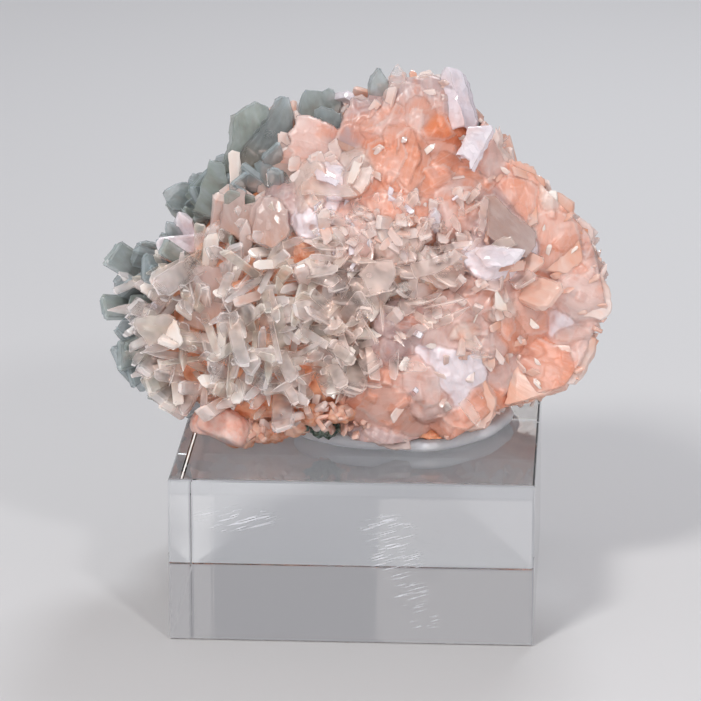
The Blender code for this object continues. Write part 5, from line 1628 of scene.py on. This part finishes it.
# %% The crust's surface
CRUST_SPOKES = 240
CRUST_RINGS = 130
# The size of the waves in mm, how many there are, the seed, and their height in mm.
CRUST_WAVES = ((7.0, 24, 31, 0.7), (2.2, 32, 32, 0.45), (0.9, 32, 33, 0.16))


def waves(points, size, count, seed):
    """A sum of sine waves of about the given length in random directions, between -1 and 1."""
    local = np.random.default_rng(seed)
    direction = unit(local.normal(size=(count, 3))) * (2 * math.pi / size)
    direction *= local.uniform(0.7, 1.5, (count, 1))
    phase = local.uniform(0, 2 * math.pi, count)
    return np.sin(points @ direction.T + phase).sum(axis=-1) / math.sqrt(count) / 1.5


def ball_faces(rings, spokes):
    """Faces of a grid closed round the sides, with one corner at each pole: 0 and the last."""
    ring = np.arange(rings - 1)[:, None] * spokes + 1
    here = np.arange(spokes)[None]
    beside = (here + 1) % spokes
    walls = np.stack((ring + here, ring + spokes + here, ring + spokes + beside, ring + beside), axis=-1)
    first = np.stack((np.zeros_like(here), 1 + here, 1 + beside), axis=-1)
    base = (rings - 1) * spokes + 1
    last = np.stack((base + beside, base + here, np.full_like(here, rings * spokes + 1)), axis=-1)
    return [walls.reshape(-1, 4), first.reshape(-1, 3), last.reshape(-1, 3)]


swing = np.linspace(0, math.pi, CRUST_RINGS + 2)[1:-1]
angle = np.linspace(0, 2 * math.pi, CRUST_SPOKES, endpoint=False)
swing_grid, angle_grid = np.meshgrid(swing, angle, indexing="ij")
place, normal = core_normal(angle_grid.ravel(), swing_grid.ravel())
crust = place + normal * sum(rise * waves(place, *wave) for *wave, rise in CRUST_WAVES)[:, None]
crust[:, 2] = np.maximum(crust[:, 2], CORE_FLOOR)
poles = core_surface(np.zeros(2), np.array((0.0, math.pi)))
crust = np.vstack((poles[:1], crust, poles[1:]))
print("crust corners:", len(crust))

# %% [markdown]
# Its colour is the deep orange of the hollows, paler on the lumps and rust brown in the pits. A green
# clay mineral covers one spot at the foot, read at u -6 and v -16 in the picture.

# %% Crust material and piece
GREEN_PLACE = (-5.8, -16.0)
GREEN_AHEAD = 5.0
GREEN_SPOT = sight(*GREEN_PLACE, float(face_depth(*GREEN_PLACE)) - GREEN_AHEAD)


def crust_finish(name, deep, body, pale):
    """Deep orange in the pits, pale on some lumps, and a green spot."""
    sheet = Sheet(
        name, Subsurface_Weight=0.8, Subsurface_Radius=(1.0, 0.4, 0.2), Subsurface_Scale=1.6 * MM,
        Coat_Weight=0.1, Coat_Roughness=0.3,
    )
    place = sheet.place()
    lumps = sheet.noise(place, 350.0, 4.0)
    grain = sheet.noise(place, 1500.0, 3.0)
    blots = sheet.noise(place, 90.0, 2.0)
    colour = sheet.blend(lumps.between(0.35, 0.62), deep, body)
    colour = sheet.blend((blots + grain * 0.3).between(0.62, 0.85), colour, pale)
    away = sheet.node(
        "ShaderNodeVectorMath", {"operation": "DISTANCE"},
        {0: place, 1: tuple(GREEN_SPOT * MM)}, output="Value",
    )
    green = (away + (lumps - 0.5) * 0.004).between(0.0052, 0.0038)
    mottle = sheet.blend(grain.between(0.4, 0.6), (0.05, 0.09, 0.07), (0.24, 0.32, 0.28))
    colour = sheet.blend(green, colour, mottle)
    rough = sheet.bump(grain, 0.2, 0.7)
    sheet.set(sheet.shader, {
        "Base Color": colour,
        "Roughness": 0.35 + lumps * 0.3,
        "Normal": sheet.bump(lumps, 0.4, 0.6, rough),
    })
    return sheet.material


CRUST_COLOURS = ((0.62, 0.19, 0.08), (0.82, 0.38, 0.23), (0.86, 0.56, 0.45))
crust_material = crust_finish("stilbite crust", *CRUST_COLOURS)
crust_piece = mesh_piece("crust", crust, ball_faces(CRUST_RINGS, CRUST_SPOKES), sharp=None)
dress(crust_piece, "stilbite_cluster", crust_material)

# %% [markdown]
# ## Blocks and lumps at the foot
#
# The foot has a few rounded blocks that are wider than any blade. A rounded polyhedron has a short
# formula: the radius in a direction is one over the p-norm of that direction's dot products with a few
# face normals. With a large p the faces are flat and the edges crisp, and with a small one it is
# nearly a ball.

# %% Rounded polyhedra
BLOCKS = (
    # u, v, half width, half height, half depth, ahead of the face, lean in degrees, seed, finish
    (16.8, -18.6, 4.8, 4.8, 4.4, 6.5, -30, 7, "crusty"),
    (9.2, -18.0, 5.0, 3.4, 4.0, 3.4, -24, 8, "crusty"),
    (-27.0, -15.8, 5.6, 4.0, 6.0, 6.0, -24, 9, "block"),
    (-32.0, -16.4, 2.4, 3.0, 4.0, 4.0, 0, 10, "block"),
    (-23.6, -18.6, 3.4, 3.0, 3.6, 5.0, 10, 11, "crusty"),
    (-19.6, -17.6, 3.0, 2.6, 3.0, 4.0, 0, 12, "crusty"),
    (-15.6, -17.2, 3.0, 2.6, 3.0, 4.0, 30, 13, "crusty"),
    (-11.8, -15.8, 2.8, 2.8, 3.0, 4.0, 0, 14, "crusty"),
    (-8.6, -13.8, 2.8, 2.2, 3.0, 4.0, 0, 15, "crusty"),
    (-5.8, -16.4, 3.4, 2.4, 3.2, 3.4, 0, 16, "crusty"),
    (-2.0, -13.6, 3.4, 2.2, 3.2, 4.0, 10, 17, "crusty"),
    (-0.8, -16.2, 2.8, 1.8, 3.0, 3.0, 0, 18, "crusty"),
    (2.2, -15.6, 2.2, 1.6, 2.4, 2.0, 0, 19, "crusty"),
    (20.2, -19.0, 2.8, 3.0, 3.0, 5.0, 0, 20, "crusty"),
)
OVERHANG = 2.6
OVERHANG_FRONT = -12
DRUSE = 9
GREEN_BARE = 6.2
BLOCK_RINGS = 26
BLOCK_SPOKES = 44
# How crisp the edges are, which is p, and how rough the faces.
SURFACES = {"block": (8.0, 0.26), "crusty": (5.0, 0.42)}


def rounded_block(u, v, half_width, half_height, half_depth, ahead, lean, seed, crisp, rough):
    """Radius = 1 / (sum of |direction . normal| ** p) ** (1 / p), scaled to the half sizes."""
    local = np.random.default_rng(seed)
    normals = unit(local.normal(size=(7, 3)))
    normals = np.vstack((np.eye(3), normals)) * local.uniform(0.86, 1.0, (10, 1))
    ring, spoke = np.meshgrid(
        np.linspace(0, math.pi, BLOCK_RINGS + 2)[1:-1],
        np.linspace(0, 2 * math.pi, BLOCK_SPOKES, endpoint=False), indexing="ij",
    )
    direction = np.stack(
        (np.sin(ring) * np.cos(spoke), np.sin(ring) * np.sin(spoke), np.cos(ring)), axis=-1,
    ).reshape(-1, 3)
    direction = np.vstack(((0, 0, 1), direction, (0, 0, -1)))
    radius = (np.abs(direction @ normals.T) ** crisp).sum(axis=-1) ** (-1 / crisp)
    shape = direction * radius[:, None] * np.array((half_width, half_height, half_depth))
    shape += unit(direction) * (rough * waves(shape + 50 * seed, 1.7, 24, seed))[:, None]
    lean = math.radians(lean)
    across, upward = turned(shape[:, 0], shape[:, 1], math.cos(lean), -math.sin(lean))
    centre = sight(u, v, float(face_depth(u, v)) - ahead - STAND_OUT + half_depth)
    corners = centre + across[:, None] * RIGHT + upward[:, None] * UP + shape[:, 2:] * AWAY
    floor = CORE_FLOOR - OVERHANG if corners[:, 1].max() < OVERHANG_FRONT else CORE_FLOOR
    corners[:, 2] = np.maximum(corners[:, 2], floor)
    return corners


block_groups = {"block": [], "crusty": []}
for *sizes, kind in BLOCKS:
    block_groups[kind].append(rounded_block(*sizes, *SURFACES[kind]))
druse = np.random.default_rng(29)
foot_points, foot_normals = [], []
for group in block_groups["crusty"]:
    outward = unit(group - group.mean(axis=0))
    showing = np.flatnonzero(outward @ AWAY < 0.2)
    picked = druse.choice(showing, DRUSE)
    foot_points.append(group[picked])
    foot_normals.append(outward[picked])
foot_points, foot_normals = np.vstack(foot_points), np.vstack(foot_normals)
off_green = np.linalg.norm(foot_points - GREEN_SPOT, axis=1) > GREEN_BARE
foot_points, foot_normals = foot_points[off_green], foot_normals[off_green]
count = len(foot_points)
druse_width = druse.uniform(0.9, 2.2, count)
stubs = strewn(
    foot_points, foot_normals, druse.uniform(2.0, 3.2, count), druse_width,
    druse_width * druse.uniform(0.5, 0.9, count), druse.uniform(*np.radians((10, 65)), count),
    pick(druse, ("blunt", "chisel"), count),
    druse.choice([FINISHES.index(name) for name in ("salmon", "rose", "salmon")], count), 29,
)
blade_pieces(stubs, "druse", 300)
foot_finish_of = {
    "block": crust_finish("stilbite block", (0.82, 0.41, 0.32), (0.84, 0.55, 0.48), (0.86, 0.68, 0.64)),
    "crusty": crust_finish("stilbite foot", *CRUST_COLOURS),
}
block_face_sets = ball_faces(BLOCK_RINGS, BLOCK_SPOKES)
block_size = BLOCK_RINGS * BLOCK_SPOKES + 2
for kind, group in block_groups.items():
    shift = (np.arange(len(group)) * block_size)[:, None, None]
    faces = [(block[None, ::, ::-1] + shift).reshape(-1, block.shape[1]) for block in block_face_sets]
    piece = mesh_piece(f"{kind}_lumps", np.vstack(group), faces, sharp=None)
    dress(piece, "stilbite_cluster", foot_finish_of[kind])

# %% [markdown]
# ## Putty
#
# White mineral tack, rolled into a ball and pressed flat by the specimen. Its rim is wavy and its side
# bulges. The profile of the side is carried round the rim, and the waves change its radius.

# %% The putty's surface
PUTTY_CENTRE = (7.9, 3.6)
PUTTY_RADII = (24.0, 22.0)
PUTTY_BOTTOM = 35.3
PUTTY_WAVE = 0.7
PUTTY_SHY = 0.15
putty_turn = np.linspace(0, 2 * math.pi, 180, endpoint=False)
putty_profile = np.array((
    (0.35, 0.0), (0.7, 0.0), (0.93, 0.0), (0.965, 0.06), (0.99, 0.3), (1.0, 0.55),
    (0.985, 0.8), (0.955, 0.94), (0.9, 0.99), (0.7, 1.0), (0.35, 1.0),
))
wave = PUTTY_WAVE * (np.sin(5 * putty_turn + 1) + 0.6 * np.sin(9 * putty_turn))
putty_ring = putty_profile[:, 0][:, None]
putty_x = PUTTY_CENTRE[0] + putty_ring * (PUTTY_RADII[0] + wave - PUTTY_SHY) * np.cos(putty_turn)
putty_y = PUTTY_CENTRE[1] + putty_ring * (PUTTY_RADII[1] + wave - PUTTY_SHY) * np.sin(putty_turn)
putty_z = PUTTY_BOTTOM + putty_profile[:, 1][:, None] * (PUTTY_TOP - PUTTY_BOTTOM) + 0 * putty_x
putty = np.stack((putty_x, putty_y, putty_z), axis=-1).reshape(-1, 3)
inward = (putty - (*PUTTY_CENTRE, 37.0)) * (1, 1, 0)
putty -= unit(inward) * (0.12 * (1 + waves(putty, 3.0, 24, 51)))[:, None]
poles = np.array(((*PUTTY_CENTRE, PUTTY_BOTTOM), (*PUTTY_CENTRE, PUTTY_TOP)))
putty = np.vstack((poles[:1], putty, poles[1:]))
print("putty corners:", len(putty))

# %% Putty material and piece
putty_sheet = Sheet(
    "putty", Subsurface_Weight=0.3, Subsurface_Radius=(1.0, 1.0, 1.0), Subsurface_Scale=1.0 * MM,
    Roughness=0.55,
)
smear = putty_sheet.noise(putty_sheet.place(), 260.0, 4.0)
putty_sheet.set(putty_sheet.shader, {
    "Base Color": putty_sheet.blend(smear.between(0.35, 0.7), (0.86, 0.88, 0.94), (0.94, 0.95, 0.98)),
    "Normal": putty_sheet.bump(smear, 0.25, 0.6),
})
putty_faces = [block[:, ::-1] for block in ball_faces(len(putty_profile), len(putty_turn))]
putty_piece = mesh_piece("putty_pad", putty, putty_faces, sharp=None)
dress(putty_piece, "putty", putty_sheet.material)

# %% [markdown]
# ## The clear block
#
# The block's solid already has the right shape and its fine bevels, so it keeps its mesh and only gets
# a material. Acrylic is a transmitting shader with its own index of refraction. The front is scuffed
# in a few places, and scuffs are short bright scratches: stretched noise, cut to thin lines, that mixes
# in a pale rough shader inside soft ellipses on the front face.

# %% Acrylic
BLOCK_SIDE = 76.0
SCUFF_SLANT = 16
SCUFFS = (
    # x and z on the front face, half width, half height, in mm
    (-23.5, 26.5, 10.5, 3.6), (7.5, 24.5, 7.0, 4.5), (9.5, 18.0, 6.5, 5.0), (12.5, 11.0, 4.5, 4.5),
    (15.5, 5.0, 3.6, 3.2),
)


def acrylic():
    """Clear acrylic that turns pale and rough along fine lines in each scuff on the front."""
    sheet = Sheet(
        "acrylic", IOR=1.49, Transmission_Weight=1.0, Roughness=0.015, Base_Color=(0.97, 0.985, 1.0, 1.0),
    )
    place = sheet.place()
    split = sheet.node("ShaderNodeSeparateXYZ", inputs={"Vector": place})
    x, y, z = (Wire(sheet, split.socket.node.outputs[axis]) for axis in "XYZ")
    patch = None
    for centre_x, centre_z, half_x, half_z in SCUFFS:
        reach = ((x - centre_x * MM) / (half_x * MM)) ** 2.0 + ((z - centre_z * MM) / (half_z * MM)) ** 2.0
        inside = reach.between(1.0, 0.2)
        patch = inside if patch is None else patch + inside
    front = (0.0 - y).between((BLOCK_SIDE / 2 - 0.3) * MM, (BLOCK_SIDE / 2 - 0.1) * MM)
    slanted = sheet.node(
        "ShaderNodeMapping", inputs={"Vector": place, "Rotation": (0.0, math.radians(SCUFF_SLANT), 0.0)},
    )
    lines = sheet.noise(sheet.stretch(slanted, (0.16, 1.0, 3.0)), 1300.0, 2.0)
    scratch = lines.between(0.58, 0.66) * patch * front * 0.7
    glass = sheet.shader
    scuff = sheet.tree.nodes.new("ShaderNodeBsdfPrincipled")
    sheet.set(scuff, {"Base Color": (0.85, 0.88, 0.95, 1.0), "Roughness": 0.5})
    mixed = sheet.node("ShaderNodeMixShader", inputs={0: scratch})
    sheet.tree.links.new(glass.outputs[0], mixed.socket.node.inputs[1])
    sheet.tree.links.new(scuff.outputs[0], mixed.socket.node.inputs[2])
    sheet.tree.links.new(mixed.socket, sheet.end.inputs["Surface"])
    return sheet.material


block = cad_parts["acrylic_block"]
block.data.materials.clear()
block.data.materials.append(acrylic())
print("the block keeps its", len(block.data.polygons), "faces")

# %% [markdown]
# ## Floor, light and camera
#
# A plain pale floor and four soft lights. The camera has a long lens, looks down by sixteen
# degrees and slightly from the right, and stands where the block's corners fall as in the photograph.

# %% Floor and lights
FLOOR_RADIUS = 3.0
FLOOR_DROP = 0.0002
FLOOR_SIDES = 64


def pale_floor():
    """A wide pale disc just under the block."""
    sheet = Sheet("floor", Base_Color=(0.72, 0.72, 0.73, 1.0), Roughness=0.7)
    mesh = bpy.data.meshes.new("floor")
    turn = np.linspace(0, 2 * math.pi, FLOOR_SIDES, endpoint=False)
    disc = FLOOR_RADIUS * np.cos(turn), FLOOR_RADIUS * np.sin(turn), 0 * turn - FLOOR_DROP
    mesh.from_pydata(np.stack(disc, axis=-1).tolist(), [], [list(range(FLOOR_SIDES))])
    floor = bpy.data.objects.new("floor", mesh)
    bpy.context.scene.collection.objects.link(floor)
    mesh.materials.append(sheet.material)
    return floor


def soft_light(name, place, aim, size, power, colour):
    """A square area light turned towards a point."""
    data = bpy.data.lights.new(name, "AREA")
    data.shape = "SQUARE"
    data.size = size
    data.energy = power
    data.color = colour
    light = bpy.data.objects.new(name, data)
    light.location = place
    light.rotation_euler = (Vector(aim) - Vector(place)).to_track_quat("-Z", "Y").to_euler()
    bpy.context.scene.collection.objects.link(light)


floor = pale_floor()
AIM = (0.0, 0.0, 0.07)
soft_light("key", (-0.3, -0.65, 0.75), AIM, 0.16, 4.0, (1.0, 0.98, 0.95))
soft_light("glint", (0.35, -0.75, 0.6), AIM, 0.08, 1.6, (1.0, 0.98, 0.98))
soft_light("fill", (0.2, -0.9, 0.16), AIM, 0.5, 1.45, (1.0, 0.93, 0.87))
soft_light("back", (0.15, 0.6, 0.7), AIM, 0.25, 2.6, (0.92, 0.96, 1.0))
world = bpy.data.worlds.new("studio")
bpy.context.scene.world = world
world.use_nodes = True
world.node_tree.nodes["Background"].inputs["Color"].default_value = (0.79, 0.77, 0.80, 1.0)
world.node_tree.nodes["Background"].inputs["Strength"].default_value = 0.44
print("four soft lights")

# %% Camera
SENSOR = 36.0
FOCAL_PIXELS = 4500.0
PICTURE_PIXELS = 701.0
lens = bpy.data.cameras.new("camera")
lens.sensor_width = SENSOR
lens.lens = FOCAL_PIXELS * SENSOR / PICTURE_PIXELS
lens.clip_start = 0.05
lens.clip_end = 20.0
camera = bpy.data.objects.new("camera", lens)
facing = Matrix((RIGHT, UP, -AWAY)).transposed().to_4x4()
camera.matrix_world = Matrix.Translation(Vector((LOOK_AT - AWAY * LOOK_DISTANCE) * MM)) @ facing
bpy.context.scene.collection.objects.link(camera)
bpy.context.scene.camera = camera
bpy.context.scene.view_settings.view_transform = "Standard"
bpy.context.scene.cycles.transparent_max_bounces = 6
bpy.context.scene.cycles.diffuse_bounces = 4
print("lens, mm:", round(lens.lens, 1))
